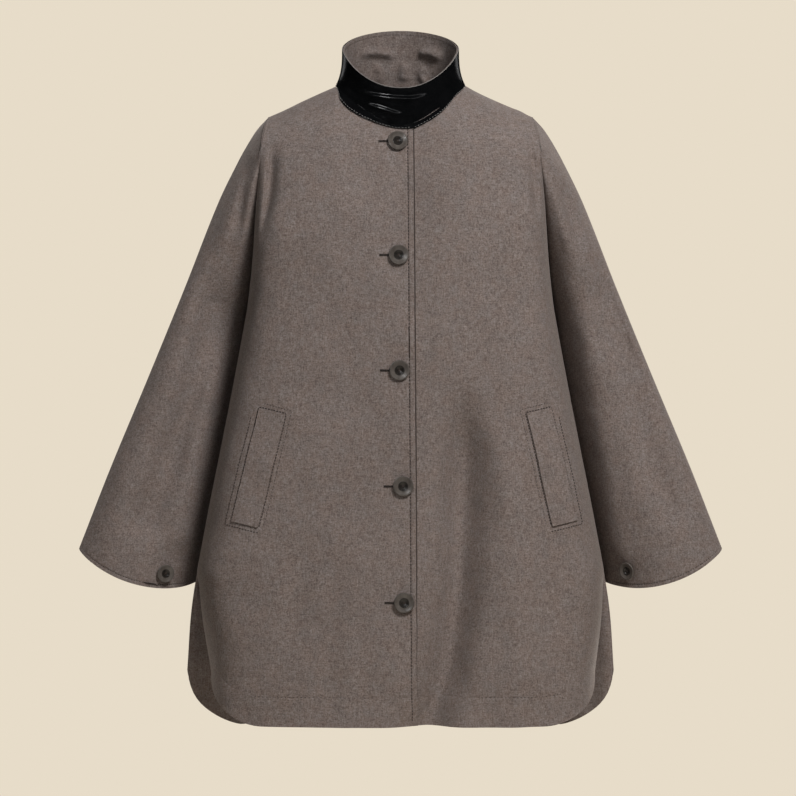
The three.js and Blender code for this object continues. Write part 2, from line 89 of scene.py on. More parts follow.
# Height, and depth of the body in front and behind
DEPTH = np.array([
    [-30, 116, 110], [-200, 116, 112], [-420, 126, 118], [-650, 142, 134], [-864, 152, 146],
])
FRONT = SimpleNamespace(sign=-1, column=1, flat=0.25, corner=18, dome=8, reach=(338, 150), hem=FRONT_HEM)
BACK = SimpleNamespace(sign=1, column=2, flat=0.25, corner=5, dome=49, reach=(150, 130), hem=BACK_HEM)
TOP_CORNER = 8  # how square the front's side is at most near the shoulder
CORNER_FROM_Z = -90

# The sleeve's overarm line, as x and z
OVERARM = np.array([
    [178, -37], [192, -52], [204, -70], [219, -97], [246, -153],
    [290, -265], [340, -388], [391, -511], [433, -619],
])
# Height, and how far in front and behind the crease lies where the body falls into the sleeve
CREASE = np.array([[-97, -61, 54], [-150, -45, 54], [-200, -22, 52], [-250, 6, 46], [-295, 33, 33]])
# Height, and y of the body's side seam and of the sleeve's inner seam, below the underarm
SEAMS = np.array([[-295, 33, 33], [-340, 18, 41], [-400, 6, 42], [-480, 0, 42], [-664, 0, 42]])
CREASE_START = 60
CUFF_INNER_Z = -664
CUFF_SAG = 24
CUFF_STITCH = 5.0
OVERARM_CUFF_Y = -12
TUCK_X = -2
# Height, and how far a sleeve's panel stands out at its middle
SLEEVE_BULGE = np.array([[-37, 0], [-97, 16], [-166, 30], [-230, 39], [-295, 44], [-480, 50], [-664, 56]])

# The wearer's hands, and the sign of x on each side
HANDS = (("right", -1), ("left", 1))

# The stand collar
RIM = SimpleNamespace(half_width=79, front=73, back=70, z_front=-4, z_side=55, z_back=87)
COLLAR_END_X = 10
COLLAR_UNDER_X = -16
COLLAR_SHIFT = 4.2
COLLAR_GAP = 0.8
COLLAR_END_FLARE = [7.5, -1.4, 2]  # how far the foot of the upper end reaches on, in x, y and z

# Pocket welts
WELT = SimpleNamespace(thick=2.3, lift=2.5, inset=1.1)
WELTS = {
    "welt_right": SimpleNamespace(x=-187, z=-508, width=36, length=154, slant=13.6),
    "welt_left": SimpleNamespace(x=199, z=-507, width=34, length=153, slant=-12.8),
}

# Folds of the body in front and behind: height (a trough is negative), width, and
# path in x and z
FRONT_FOLDS = [
    (-42, 28, [[80, -385], [82, -480], [79, -600], [72, -690], [58, -776], [34, -850]]),
    (7, 20, [[134, -430], [141, -520], [148, -610], [154, -720], [150, -850]]),
    (-9, 7, [[178, -62], [178, -100], [181, -142], [184, -170], [191, -200]]),
    (-13, 8, [[-166, -70], [-172, -112], [-175, -142], [-181, -176], [-191, -222]]),
    (4, 5, [[-177, -92], [-182, -148], [-186, -181], [-190, -215]]),
    (-1.6, 5, [[53, -790], [54, -820], [53, -850]]),
    (-1.4, 5, [[-42, -47], [-30, -58], [-18, -68]]),
    (-3, 16, [[-120, -560], [-128, -640], [-140, -720], [-160, -800]]),
    (2.5, 14, [[-60, -600], [-66, -700], [-74, -850]]),
    (-2, 10, [[196, -330], [204, -390], [206, -440]]),
]
BACK_FOLDS = [
    (-20, 22, [[-108, -400], [-112, -520], [-118, -640], [-130, -760], [-138, -866]]),
    (-17, 20, [[96, -440], [104, -560], [108, -680], [116, -790], [118, -866]]),
    (10, 26, [[-62, -500], [-66, -620], [-72, -760], [-74, -866]]),
    (10, 24, [[150, -520], [160, -640], [172, -760], [176, -866]]),
    (-9, 14, [[18, -560], [22, -700], [20, -800], [24, -866]]),
    (-7, 9, [[160, -86], [164, -130], [170, -180], [180, -230]]),
    (-8, 9, [[-156, -80], [-162, -120], [-166, -170], [-176, -226]]),
    (-3, 8, [[-70, -34], [-30, -44], [20, -46], [66, -36]]),
]
# Folds of the sleeves, by (sign of x, sign of y) of their panel
SLEEVE_FOLDS = {
    (-1, -1): [
        (-6, 8, [[-195, -84], [-207, -131], [-215, -173], [-226, -212]]),
        (4, 7, [[-191, -90], [-199, -131], [-206, -181], [-216, -232]]),
        (-19, 23, [[-222, -190], [-240, -260], [-262, -350], [-292, -450], [-342, -579]]),
        (10, 18, [[-240, -330], [-256, -400], [-279, -499], [-292, -600]]),
    ],
    (1, -1): [
        (-6, 8, [[208, -110], [214, -131], [222, -160], [236, -195], [240, -230]]),
        (3, 7, [[200, -112], [205, -140], [217, -189], [230, -242]]),
        (-15, 23, [[250, -190], [280, -311], [307, -378], [327, -465], [361, -560]]),
        (8, 18, [[226, -250], [253, -378], [274, -512], [294, -620]]),
    ],
    (-1, 1): [
        (-13, 20, [[-236, -220], [-262, -320], [-300, -420], [-352, -540]]),
        (6, 20, [[-226, -300], [-250, -400], [-286, -520], [-306, -640]]),
        (-4, 9, [[-232, -330], [-268, -352], [-300, -350]]),
    ],
    (1, 1): [
        (-12, 20, [[244, -230], [276, -340], [316, -440], [372, -560]]),
        (6, 18, [[228, -330], [256, -430], [288, -540], [312, -650]]),
        (-4, 9, [[240, -370], [272, -392], [310, -388]]),
    ],
}
FOLD_FADE = 0.3  # share of a fold's length over which each end fades
FOLD_REACH = 3  # widths from its path within which a fold is felt
SIDE_CALM = 12  # one over the share of a panel's width in which it has no folds at its side
SLEEVE_CALM = 8

# Creases of the leather in front, of the same form
COLLAR_CREASES = [
    (-1.0, 2.8, [[-58, -2], [-36, -9], [-10, -13], [16, -13], [44, -6]]),
    (1.3, 3.0, [[-56, -8], [-34, -14], [-8, -18], [18, -18], [42, -11]]),
    (-0.9, 2.4, [[-48, -20], [-28, -26], [-6, -33], [10, -36]]),
    (1.1, 2.4, [[-46, -25], [-26, -31], [-6, -38], [8, -40]]),
    (1.6, 1.8, [[-25, -44], [-23, -45.5]]),
    (-0.6, 3.0, [[48, -14], [60, -6], [70, 8]]),
    (-0.6, 3.0, [[-74, 4], [-64, -6], [-54, -18]]),
]

# Soft folds of the collar's lining behind the neck, which stand towards the neck
LINING_FOLDS = [
    (-8, 5.5, [[-62, 50], [-46, 55], [-26, 55], [-4, 50]]),
    (-8, 6.5, [[22, 56], [42, 55], [62, 46]]),
    (-6, 7, [[8, 46], [4, 32], [6, 14]]),
    (-5, 6, [[-40, 40], [-28, 28], [-34, 10]]),
    (-5, 6, [[38, 38], [30, 26], [40, 10]]),
]

# The leather's lower edge in front, from the right shoulder to the left one
LEATHER_HEM = np.array([
    [-88, 3], [-83, -13], [-76, -24], [-68, -32], [-57, -39.5], [-43, -46.5], [-27, -52.5], [-10, -57.5],
    [0, -59], [18, -59], [25, -56], [42, -47], [57, -35], [71, -16], [82, 0], [88, 4],
])
LEATHER_LIFT = 2.3  # of the leather's face over the cloth it lies on


def smooth(t):
    c = np.clip(t, 0, 1)
    return c * c * (3 - 2 * c)


def lerp(a, b, t):
    return a + (b - a) * t


def unit(v):
    """Vectors along the last axis, made one long."""
    return v / np.maximum(np.linalg.norm(v, axis=-1, keepdims=True), 1e-9)


def walked(line):
    """The distance walked along a line, at each of its points."""
    return np.concatenate([[0], np.cumsum(np.linalg.norm(np.diff(line, axis=0), axis=1))])


def value(table, column, at):
    """A smooth value between a table's rows, along its first column."""
    key, val = table[:, 0].astype(float), table[:, column].astype(float)
    if key[0] > key[-1]:
        key, val = key[::-1], val[::-1]
    last = len(key) - 1
    before, after = np.maximum(np.arange(last + 1) - 1, 0), np.minimum(np.arange(last + 1) + 1, last)
    slope = (val[after] - val[before]) / (key[after] - key[before])
    at = np.clip(at, key[0], key[-1])
    i = np.clip(np.searchsorted(key, at, side="right") - 1, 0, last - 1)
    step = key[i + 1] - key[i]
    t = (at - key[i]) / step
    return (
        (2 * t**3 - 3 * t**2 + 1) * val[i]
        + (t**3 - 2 * t**2 + t) * step * slope[i]
        + (3 * t**2 - 2 * t**3) * val[i + 1]
        + (t**3 - t**2) * step * slope[i + 1]
    )


def smooth_path(points, count=28):
    """A smooth line through points."""
    points = np.array(points, float)
    table = np.column_stack([walked(points), points])
    at = np.linspace(0, table[-1, 0], count)
    return np.column_stack([value(table, k + 1, at) for k in range(points.shape[1])])


def relief(folds, x, z, open_below=-845):
    """Height of all the folds at (x, z). A fold fades at its ends, but not at an open hem."""
    x, z = np.broadcast_arrays(np.asarray(x, float), np.asarray(z, float))
    total = np.zeros(x.shape)
    for height, width, path in folds:
        line = smooth_path(path)
        a, b = line[:-1], line[1:]
        length = np.linalg.norm(b - a, axis=1)
        start = walked(line)
        low, high = line.min(axis=0) - FOLD_REACH * width, line.max(axis=0) + FOLD_REACH * width
        near = (x > low[0]) & (x < high[0]) & (z > low[1]) & (z < high[1])
        if not near.any():
            continue
        px, pz = x[near][:, None], z[near][:, None]
        dx, dz = (b - a)[:, 0], (b - a)[:, 1]
        t = np.clip(((px - a[:, 0]) * dx + (pz - a[:, 1]) * dz) / length**2, 0, 1)
        d = np.hypot(px - a[:, 0] - t * dx, pz - a[:, 1] - t * dz)
        best = d.argmin(axis=1)
        rows = np.arange(len(best))
        along = start[best] + t[rows, best] * length[best]
        fade = FOLD_FADE * start[-1]
        ends = smooth(along / fade)
        if path[-1][1] > open_below:
            ends = ends * smooth((start[-1] - along) / fade)
        total[near] += height * np.exp(-((d[rows, best] / width) ** 2)) * ends
    return total


def half_width(z):
    return value(HALF_WIDTH, 1, z)


def panel_width(z, side, mirror):
    """Half width of a panel; below the vent's top a front ends inside the back."""
    if side is BACK:
        return half_width(z)
    t = np.clip((VENT_TOP_Z - z) / (VENT_TOP_Z - CORNER_TOP_Z), 0, 1)
    return half_width(z) - VENT_STEP[mirror] * t * smooth(t * 5)


def shoulder_z(x, side):
    s = np.abs(x)
    dome = NECK_SIDE_Z + side.dome * (1 - np.minimum(s / NECK_HALF_WIDTH, 1) ** 2)
    out = np.clip((s - NECK_HALF_WIDTH) / (TIP_X - NECK_HALF_WIDTH), 0, None)
    return np.where(s < NECK_HALF_WIDTH, dome, lerp(NECK_SIDE_Z, TIP_Z, out**SHOULDER_ROUNDING))


def shoulder_reach(x, side):
    return lerp(side.reach[0], side.reach[1], np.clip(np.abs(x) / TIP_X, 0, 1))


def side_y(z, side):
    start = np.clip((TIP_Z - z) / CREASE_START, 0, 1)
    upper = value(CREASE, side.column, z) * np.sqrt(1 - (1 - start) ** 2)
    return np.where(z <= UNDERARM_Z, value(SEAMS, 1, z), upper)


def body_y(x, z, side, width):
    """Depth of the body's surface at (x, z)."""
    u = np.clip(np.abs(x) / width, 0, 1)
    t = np.clip((shoulder_z(x, side) - z) / shoulder_reach(x, side), 0, 1)
    over = np.sqrt(1 - (1 - t) ** 2)
    full = value(DEPTH, side.column, z) * (1 - side.flat * u * u) * over
    crease = side.sign * side_y(z, side)
    squareness = lerp(min(side.corner, TOP_CORNER), side.corner, smooth((CORNER_FROM_Z - z) / 130))
    turn = np.sqrt(1 - u**squareness)
    folds = FRONT_FOLDS if side is FRONT else BACK_FOLDS
    depth = crease + (full - crease) * turn + relief(folds, x, z) * smooth((1 - u) * SIDE_CALM)
    return side.sign * depth


def neck_point(angle, side):
    x = NECK_HALF_WIDTH * np.sin(angle)
    depth = NECK_FRONT_DEPTH if side is FRONT else NECK_BACK_DEPTH
    y = depth * np.maximum(np.cos(angle), 0) ** NECK_ROUNDING
    u = np.abs(x) / TIP_X
    full = value(DEPTH, side.column, 0) * (1 - side.flat * u * u)
    t = 1 - np.sqrt(1 - np.clip(y / full, 0, 1) ** 2)
    return np.stack([x, side.sign * y, shoulder_z(x, side) - shoulder_reach(x, side) * t], axis=-1)


def edge_x(z):
    return lerp(EDGE_TOP_X, EDGE_HEM_X, np.clip(-z / 847, 0, 1))


def hem_z(x, side, width):
    hem = side.hem
    t = np.clip((np.abs(x) - (width - hem.corner_width)) / hem.corner_width, 0, 1)
    return hem.z + (CORNER_TOP_Z - hem.z) * (1 - np.sqrt(1 - t * t))


# Rows of the body: heights at its side, then heights above the hem
ARM_ROWS = 52
SIDE_ROWS = 58
VENT_ROWS = 15
HEM_BAND = 60
BAND = np.array([55, 50, 46, 43, 41, 40, 39.2, 38.4, 37.4, 35, 31, 27, 23, 19, 15, 11, 8, 5, 2.5, 0])
ARM_Z = lerp(TIP_Z, UNDERARM_Z, (1 - np.cos(np.pi * np.arange(ARM_ROWS + 1) / ARM_ROWS)) / 2)
SIDE_Z = np.concatenate([
    ARM_Z,
    lerp(UNDERARM_Z, VENT_TOP_Z, np.arange(1, SIDE_ROWS + 1) / SIDE_ROWS),
    lerp(VENT_TOP_Z, CORNER_TOP_Z + HEM_BAND, np.arange(1, VENT_ROWS + 1) / VENT_ROWS),
])
DOWN = (SIDE_Z - TIP_Z) / (CORNER_TOP_Z + HEM_BAND - TIP_Z)

# Columns of a panel, from its centre to its side
UNDERLAP_ANGLE = math.asin(UNDERLAP_X / NECK_HALF_WIDTH)
UNDERLAP_SHARE = 0.11
NECK_SHARE = 0.55
TURN_SHARE = 0.8


def panel_columns():
    """(angle or None, x on the shoulder, share of the width) of each column."""
    columns = []
    for t in np.arange(0, 5) / 5:
        columns.append((t * UNDERLAP_ANGLE, None, t * UNDERLAP_SHARE))
    for t in np.arange(0, 21) / 20:
        columns.append((lerp(UNDERLAP_ANGLE, math.pi / 2, t), None, lerp(UNDERLAP_SHARE, NECK_SHARE, t)))
    outer = np.concatenate([
        lerp(NECK_SHARE, TURN_SHARE, np.arange(1, 13) / 12),
        1 - (1 - TURN_SHARE) * (np.arange(21, -1, -1) / 22) ** 2,
    ])
    for share in outer:
        x = lerp(NECK_HALF_WIDTH, TIP_X, (share - NECK_SHARE) / (1 - NECK_SHARE))
        columns.append((None, x, share))
    return columns


COLUMNS = panel_columns()


def heights(top, hem):
    return np.concatenate([lerp(top, hem + HEM_BAND, DOWN), hem + BAND])


def body_column(column, side, mirror):
    angle, x_top, share = column
    if angle is not None:
        top = neck_point(angle, side)
    else:
        top = np.array([x_top, 0, shoulder_z(x_top, side)])
    bottom = panel_width(CORNER_TOP_Z, side, mirror)
    z = heights(top[2], hem_z(share * bottom, side, bottom))
    width = panel_width(z, side, mirror)
    down = (top[2] - z) / (top[2] - z[-1])
    x = mirror * lerp(top[0] / TIP_X, share, smooth(down / 0.3)) * width
    y = body_y(x, z, side, width)
    if side is FRONT and share == 1:
        y = y - VENT_OPEN_Y * np.clip((VENT_TOP_Z - z) / 30, 0, 1)
    points = np.column_stack([x, y, z])
    points[0] = [mirror * top[0], top[1], top[2]]
    return points


def centre_column(offset, from_edge=True):
    """A column beside the front edge, offset from it, or at a fixed x."""
    x_top = edge_x(0.0) + offset if from_edge else offset
    top = neck_point(math.asin(x_top / NECK_HALF_WIDTH), FRONT)
    z = heights(top[2], FRONT_HEM.z)
    x = edge_x(z) + offset if from_edge else np.full(z.shape, float(offset))
    y = body_y(x, z, FRONT, half_width(z))
    y[0] = top[1]
    return np.column_stack([x, y, z])


# From the front edge inwards, close together where the topstitching runs
EDGE_OFFSETS = [0, -1.6, -3.2, -4.8, -6, -6.8, -7.4, -8, -8.8, -10.2, -13]


# Depth and width of the trough that each row of stitches pulls into the cloth
EDGE_TROUGH = (1.0, 1.2)
CUFF_TROUGH = (0.6, 0.8)
HEM_TROUGH = (0.8, 2.2)


def stitch_dip(distance, trough):
    """Depth of a trough at a distance from its stitches."""
    depth, width = trough
    return depth * np.exp(-((distance / width) ** 2))


def under_shift(x, z):
    """How much deeper the left front lies where the right one covers it."""
    return UNDER_SHIFT * (1 - smooth((x - edge_x(z) - 3) / 34))


def front_right_body():
    centre = [centre_column(offset) for offset in EDGE_OFFSETS]
    for offset, column in zip(EDGE_OFFSETS, centre):
        column[:, 1] += stitch_dip(offset + EDGE_STITCH, EDGE_TROUGH)
    main = [body_column(c, FRONT, -1) for c in COLUMNS]
    return np.stack(centre + main, axis=1)


def front_left_body():
    centre = [centre_column(x, False) for x in np.linspace(-UNDERLAP_X, 12, 10)]
    centre += [centre_column(offset) for offset in (-1, 3)]
    main = [body_column(c, FRONT, 1) for c in COLUMNS if c[2] > UNDERLAP_SHARE - 0.001]
    grid = np.stack(centre + main, axis=1)
    grid[..., 1] += under_shift(grid[..., 0], grid[..., 2])
    return grid


def back_body(mirror):
    return np.stack([body_column(c, BACK, mirror) for c in COLUMNS], axis=1)


def hem_dip(grid):
    """Sinks the shallow, uneven trough of the hem's blind stitching into a panel."""
    for row, height in zip(grid[-len(BAND):], BAND):
        uneven = 0.55 + 0.25 * np.sin(row[:, 0] * 0.13) + 0.2 * np.sin(row[:, 0] * 0.041 + 1)
        row[:, 1] -= np.sign(row[:, 1]) * stitch_dip(height - HEM_STITCH, HEM_TROUGH) * uneven


# Rows and columns of a sleeve
SLEEVE_SHARES = (1 - np.cos(np.pi * np.arange(45) / 44)) / 2
SLEEVE_UPPER = lerp(UNDERARM_Z, CUFF_INNER_Z + 36, (np.arange(1, 57) / 56) ** 1.15)
CUFF_HEIGHTS = np.array([31, 26, 22, 18, 14.5, 11.5, 9, 7.2, 6, 5.4, 5, 4.6, 4, 2.6, 1.4, 0])
SLEEVE_Z = np.concatenate([ARM_Z, SLEEVE_UPPER, CUFF_INNER_Z + CUFF_HEIGHTS])
OVERARM_LINE = np.column_stack([walked(OVERARM) / walked(OVERARM)[-1], OVERARM])


def calm_ends(share, rate):
    """1 within a sleeve's panel, and 0 at its two seams."""
    return smooth(share * rate) * smooth((1 - share) * rate)


def sleeve_point(share, z, side, mirror):
    """A point of the sleeve: share goes from its inner seam or crease to the overarm seam."""
    share, z = np.broadcast_arrays(np.asarray(share, float), np.asarray(z, float))
    above = z >= UNDERARM_Z
    down = (TIP_Z - z) / (TIP_Z - CUFF_INNER_Z)
    apart = np.where(above, 0, UNDERARM_Z - z)
    inner_x = half_width(z) + lerp(0.8, TUCK_X, smooth(apart / 60)) * np.minimum(apart / 6, 1)
    inner_y = np.where(above, side_y(z, side), value(SEAMS, 2, z))
    outer_x, outer_z = value(OVERARM_LINE, 1, down), value(OVERARM_LINE, 2, down)
    round_off = 4 * share * (1 - share)
    y = lerp(inner_y, OVERARM_CUFF_Y * down, share**0.8)
    y = y + side.sign * value(SLEEVE_BULGE, 1, z) * round_off**0.6
    x = mirror * lerp(inner_x, outer_x, share)
    height = lerp(z, outer_z, share) - CUFF_SAG * down**2 * round_off**0.8
    folds = relief(SLEEVE_FOLDS[mirror, side.sign], x, height, open_below=-560)
    dip = stitch_dip(z - CUFF_INNER_Z - CUFF_STITCH, CUFF_TROUGH) * calm_ends(share, 20)
    y = y + side.sign * (folds * calm_ends(share, SLEEVE_CALM) - dip)
    return np.stack([x, y, height], axis=-1)


def unevenness():
    """Soft waves of many directions, as (wave vector, phase, height)."""
    random = np.random.default_rng(11)
    waves = []
    for length, height, count in ((150, 0.55, 5), (70, 0.28, 6), (34, 0.1, 7)):
        for _ in range(count):
            direction = unit(random.normal(size=3) * [1, 0.6, 0.8])
            size = length * random.uniform(0.75, 1.3)
            waves.append((direction * 2 * np.pi / size, random.uniform(0, 2 * np.pi), height))
    return waves


WAVES = unevenness()


def wavy(points):
    """How far the cloth stands proud or sinks at each point."""
    total = np.zeros(points.shape[:-1])
    for wave, phase, height in WAVES:
        total += height * np.sin(points @ wave + phase)
    return total


def front_point(x, z):
    """A point on the front's outer face and its outward normal, with the cloth's unevenness."""
    x, z = np.broadcast_arrays(np.asarray(x, float), np.asarray(z, float))

    def depth(x, z):
        right, left = (body_y(x, z, FRONT, panel_width(z, FRONT, mirror)) for _, mirror in HANDS)
        return np.where(x < 0, right, left)

    step = 0.5
    slope_x = (depth(x + step, z) - depth(x - step, z)) / (2 * step)
    slope_z = (depth(x, z + step) - depth(x, z - step)) / (2 * step)
    normal = unit(np.stack([slope_x, -np.ones(x.shape), slope_z], axis=-1))
    point = np.stack([x, depth(x, z), z], axis=-1)
    return point + normal * wavy(point)[..., None], normal


def sleeve_face(share, z, side, mirror):
    """A point on a sleeve's outer face and its outward normal, with the cloth's unevenness."""
    def at(across, down):
        return sleeve_point(share + across, z + down, side, mirror)

    point = at(0, 0)
    normal = unit(np.cross(at(1e-3, 0) - at(-1e-3, 0), at(0, 0.5) - at(0, -0.5)))
    normal *= np.sign(normal[..., 1:2] * side.sign)
    return point + normal * wavy(point)[..., None], normal


class Sheet:
    """Grids of points joined into one surface, whose shared points are one point."""

    def __init__(self):
        self.points, self.faces, self.names, self.freedom = [], [], [], []

    def grid(self, points, name, flip, freedom=1.0):
        """freedom is how much of the cloth's unevenness each point takes."""
        rows, columns = points.shape[:2]
        start = sum(len(p) for p in self.points)
        ids = start + np.arange(rows * columns).reshape(rows, columns)
        a, b, c, d = ids[:-1, :-1], ids[:-1, 1:], ids[1:, 1:], ids[1:, :-1]
        order = (a, b, c, d) if flip else (a, d, c, b)
        self.points.append(points.reshape(-1, 3))
        self.freedom.append(np.broadcast_to(freedom, (rows, columns)).ravel())
        self.faces.append(np.stack([f.ravel() for f in order], axis=1))
        self.names += [name] * self.faces[-1].shape[0]

    def close(self):
        """Joins points at the same place and works out the normals."""
        points = np.concatenate(self.points)
        _, first, inverse = np.unique(
            np.round(points * 1e3).astype(np.int64), axis=0, return_index=True, return_inverse=True
        )
        self.points = points[first]
        self.freedom = np.concatenate(self.freedom)[first]
        self.faces = inverse.reshape(-1)[np.concatenate(self.faces)]
        self.names = np.array(self.names)
        self.normals = self.normals_of(self.points)

    def normals_of(self, points):
        a, b, c, d = (points[self.faces[:, k]] for k in range(4))
        across = np.cross(c - a, d - b)
        normals = np.zeros(points.shape)
        for k in range(4):
            np.add.at(normals, self.faces[:, k], across)
        return unit(normals)

    def piece(self, name):
        """(points, normals, faces) of the faces with that name."""
        faces = self.faces[self.names == name]
        used, local = np.unique(faces, return_inverse=True)
        return self.points[used], self.normals[used], local.reshape(faces.shape)


def room_beside(points, faces, rim):
    """How far each point of the rim is from the nearest point beside it that isn't on the rim."""
    room = np.full(len(points), np.inf)
    for face in faces:
        inner = [w for w in face if w not in rim]
        for v in set(face).difference(inner):
            for w in inner:
                room[v] = min(room[v], np.linalg.norm(points[v] - points[w]))
    room[np.isinf(room)] = 0
    return room


RIM_STEPS = 5  # faces round a wall's edge, from its outer face to its inner one


def wall(points, normals, faces, thick, lift, inset, gap=0, shift=None):
    """A closed wall: the outer face at lift, the inner one thick below it, and round edges.

    inset is how far the two faces stop short of the edge, and gap is the room between this
    edge and the next panel's. shift is the direction of the layers, where it isn't the normal.
    """
    faces = [[v for i, v in enumerate(f) if v != f[i - 1]] for f in faces]
    faces = [f for f in faces if len(f) > 2]
    shift = normals if shift is None else shift
    directed = {(f[i - 1], f[i]) for f in faces for i in range(len(f))}
    rim = [(a, b) for a, b in directed if (b, a) not in directed]
    following = dict(rim)
    rim_ids = np.array(sorted(following))
    outward = np.zeros(points.shape)
    for a, b in rim:
        side = unit(np.cross(points[b] - points[a], normals[a] + normals[b]))
        outward[a] += side
        outward[b] += side
    outward = unit(outward - normals * np.sum(outward * normals, axis=1, keepdims=True))
    room = room_beside(points, faces, following)
    drop = np.minimum(inset, 0.4 * room)
    half_gap = np.minimum(gap / 2, 0.2 * room)
    inward = np.zeros(len(points))
    inward[rim_ids] = (drop + half_gap)[rim_ids]
    base = points - outward * inward[:, None]
    layers = [base + shift * lift, base + shift * (lift - thick)]
    shading = [normals, -normals]
    for k in range(1, RIM_STEPS):
        turn = math.pi * k / RIM_STEPS
        layers.append(
            points[rim_ids]
            - outward[rim_ids] * (half_gap + drop * (1 - math.sin(turn)))[rim_ids, None]
            + shift[rim_ids] * (lift - thick * (1 - math.cos(turn)) / 2)
        )
        shading.append(normals[rim_ids] * math.cos(turn) + outward[rim_ids] * math.sin(turn))

    count, size = len(points), len(rim_ids)
    ring_of = {v: i for i, v in enumerate(rim_ids)}

    def down_the_edge(v):
        return [v] + [2 * count + k * size + ring_of[v] for k in range(RIM_STEPS - 1)] + [count + v]

    all_faces = faces + [[count + v for v in reversed(f)] for f in faces]
    for a, b in rim:
        line_a, line_b = down_the_edge(a), down_the_edge(b)
        for k in range(RIM_STEPS):
            all_faces.append([line_b[k], line_a[k], line_a[k + 1], line_b[k + 1]])
    return np.concatenate(layers), np.concatenate(shading), all_faces


def mesh_object(name, points, faces, material, normals=None):
    """A mesh, given in millimetres, as an object that rides on the coat."""
    mesh = bpy.data.meshes.new(name)
    mesh.from_pydata((np.asarray(points) * MM).tolist(), [], [list(map(int, f)) for f in faces])
    mesh.update()
    mesh.shade_smooth()
    if normals is not None:
        mesh.normals_split_custom_set_from_vertices(np.asarray(normals).tolist())
    mesh.materials.append(material)
    made = bpy.data.objects.new(name, mesh)
    bpy.context.scene.collection.objects.link(made)
    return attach(made, "root")


def front_strip(name, grid, material, thick, lift, inset, flip=False):
    """A strip of cloth on a grid of points, with its outer face to the front."""
    strip = Sheet()
    strip.grid(grid, name, flip)
    strip.close()
    if strip.normals[:, 1].sum() > 0:
        strip.faces, strip.normals = strip.faces[:, ::-1], -strip.normals
    points, shading, faces = wall(strip.points, strip.normals, strip.faces, thick, lift, inset)
    return mesh_object(name, points, faces, material, shading)


def rings(centres, radius, across, other, sides):
    """A ring of points round each centre, in the plane of two directions."""
    turns = (2 * np.pi * np.arange(sides) / sides)[None, :, None]
    away = np.cos(turns) * across[:, None] + np.sin(turns) * other[:, None]
    return centres[:, None] + radius * away


def band_faces(count, sides, first=0):
    """The faces between rings of points that follow each other, from the point first on."""
    faces = []
    for start in range(first, first + (count - 1) * sides, sides):
        for k in range(sides):
            n = (k + 1) % sides
            faces.append([start + k, start + n, start + sides + n, start + sides + k])
    return faces


def tube(name, line, radius, material, sides=8):
    """A round tube along a line of points."""
    along = unit(np.gradient(line, axis=0))
    across = unit(np.cross(along, [0, 0, 1]))
    points = rings(line, radius, across, np.cross(along, across), sides)
    last = (len(line) - 1) * sides
    ends = [list(range(sides))[::-1], [last + k for k in range(sides)]]
    return mesh_object(name, points.reshape(-1, 3), band_faces(len(line), sides) + ends, material)


# Rings of one stitch: place along it, share of its radius, and rise in radii
STITCH_RINGS = ((-1, 0.35, -0.9), (-0.6, 0.85, 0.1), (0, 1, 0.45), (0.6, 0.85, 0.1), (1, 0.35, -0.9))
STITCH_SIDES = 6


def stitch_mesh(starts, ends, normals, radius):
    """Points and faces of one short thread from each start to each end, its ends sunk in the cloth."""
    middle, half = (starts + ends) / 2, (ends - starts) / 2
    across = unit(np.cross(half, normals))
    points = np.stack([
        rings(middle + half * t + normals * radius * rise, radius * size, across, normals, STITCH_SIDES)
        for t, size, rise in STITCH_RINGS
    ], axis=1)
    per = len(STITCH_RINGS) * STITCH_SIDES
    one = [list(range(STITCH_SIDES)), [per - 1 - k for k in range(STITCH_SIDES)]]
    one += [face[::-1] for face in band_faces(len(STITCH_RINGS), STITCH_SIDES)]
    faces = [[v + per * i for v in face] for i in range(len(starts)) for face in one]
    return points.reshape(-1, 3), faces


def along_line(line, normals, at):
    """Points and normals at distances along a line."""
    distance = walked(line)
    point, normal = (
        np.column_stack([np.interp(at, distance, values[:, k]) for k in range(3)])
        for values in (line, normals)
    )
    return point, unit(normal)


def stitch_row(name, runs):
    """A row of stitches along each run, which is a line of points with its normals."""
    pitch, length, radius, material = STITCHES[name]
    points, faces = [], []
    count = 0
    for line, normals in runs:
        at = np.arange(pitch / 2, walked(line)[-1] - pitch / 2, pitch)
        starts, facing = along_line(line, normals, at - length / 2)
        ends, _ = along_line(line, normals, at + length / 2)
        more_points, more_faces = stitch_mesh(starts, ends, facing, radius)
        points.append(more_points)
        faces += [[v + count for v in face] for face in more_faces]
        count += len(more_points)
    mesh_object(name, np.concatenate(points), faces, material)


# Materials


def set_inputs(tree, node, inputs):
    """Gives inputs of a node their values, or links them to outputs of other nodes."""
    for key, given in inputs.items():
        if isinstance(given, bpy.types.NodeSocket):
            tree.links.new(given, node.inputs[key])
        else:
            node.inputs[key].default_value = given


def shader_node(tree, kind, inputs, **settings):
    made = tree.nodes.new(kind)
    for key, setting in settings.items():
        setattr(made, key, setting)
    set_inputs(tree, made, inputs)
    return made


def new_material(name):
    material = bpy.data.materials.new(name)
    material.use_nodes = True
    tree = material.node_tree
    return material, tree, tree.nodes["Principled BSDF"]


def stretched(tree, scale):
    """Object coordinates, scaled along each axis."""
    where = tree.nodes.new("ShaderNodeTexCoord").outputs["Object"]
    return shader_node(tree, "ShaderNodeMapping", {"Vector": where, "Scale": scale}).outputs["Vector"]


def noise(tree, scale, detail=2.0, rough=0.5, stretch=(1, 1, 1), distortion=0.0):
    return shader_node(tree, "ShaderNodeTexNoise", {
        "Vector": stretched(tree, stretch),
        "Scale": scale, "Detail": detail, "Roughness": rough, "Distortion": distortion,
    }).outputs["Fac"]


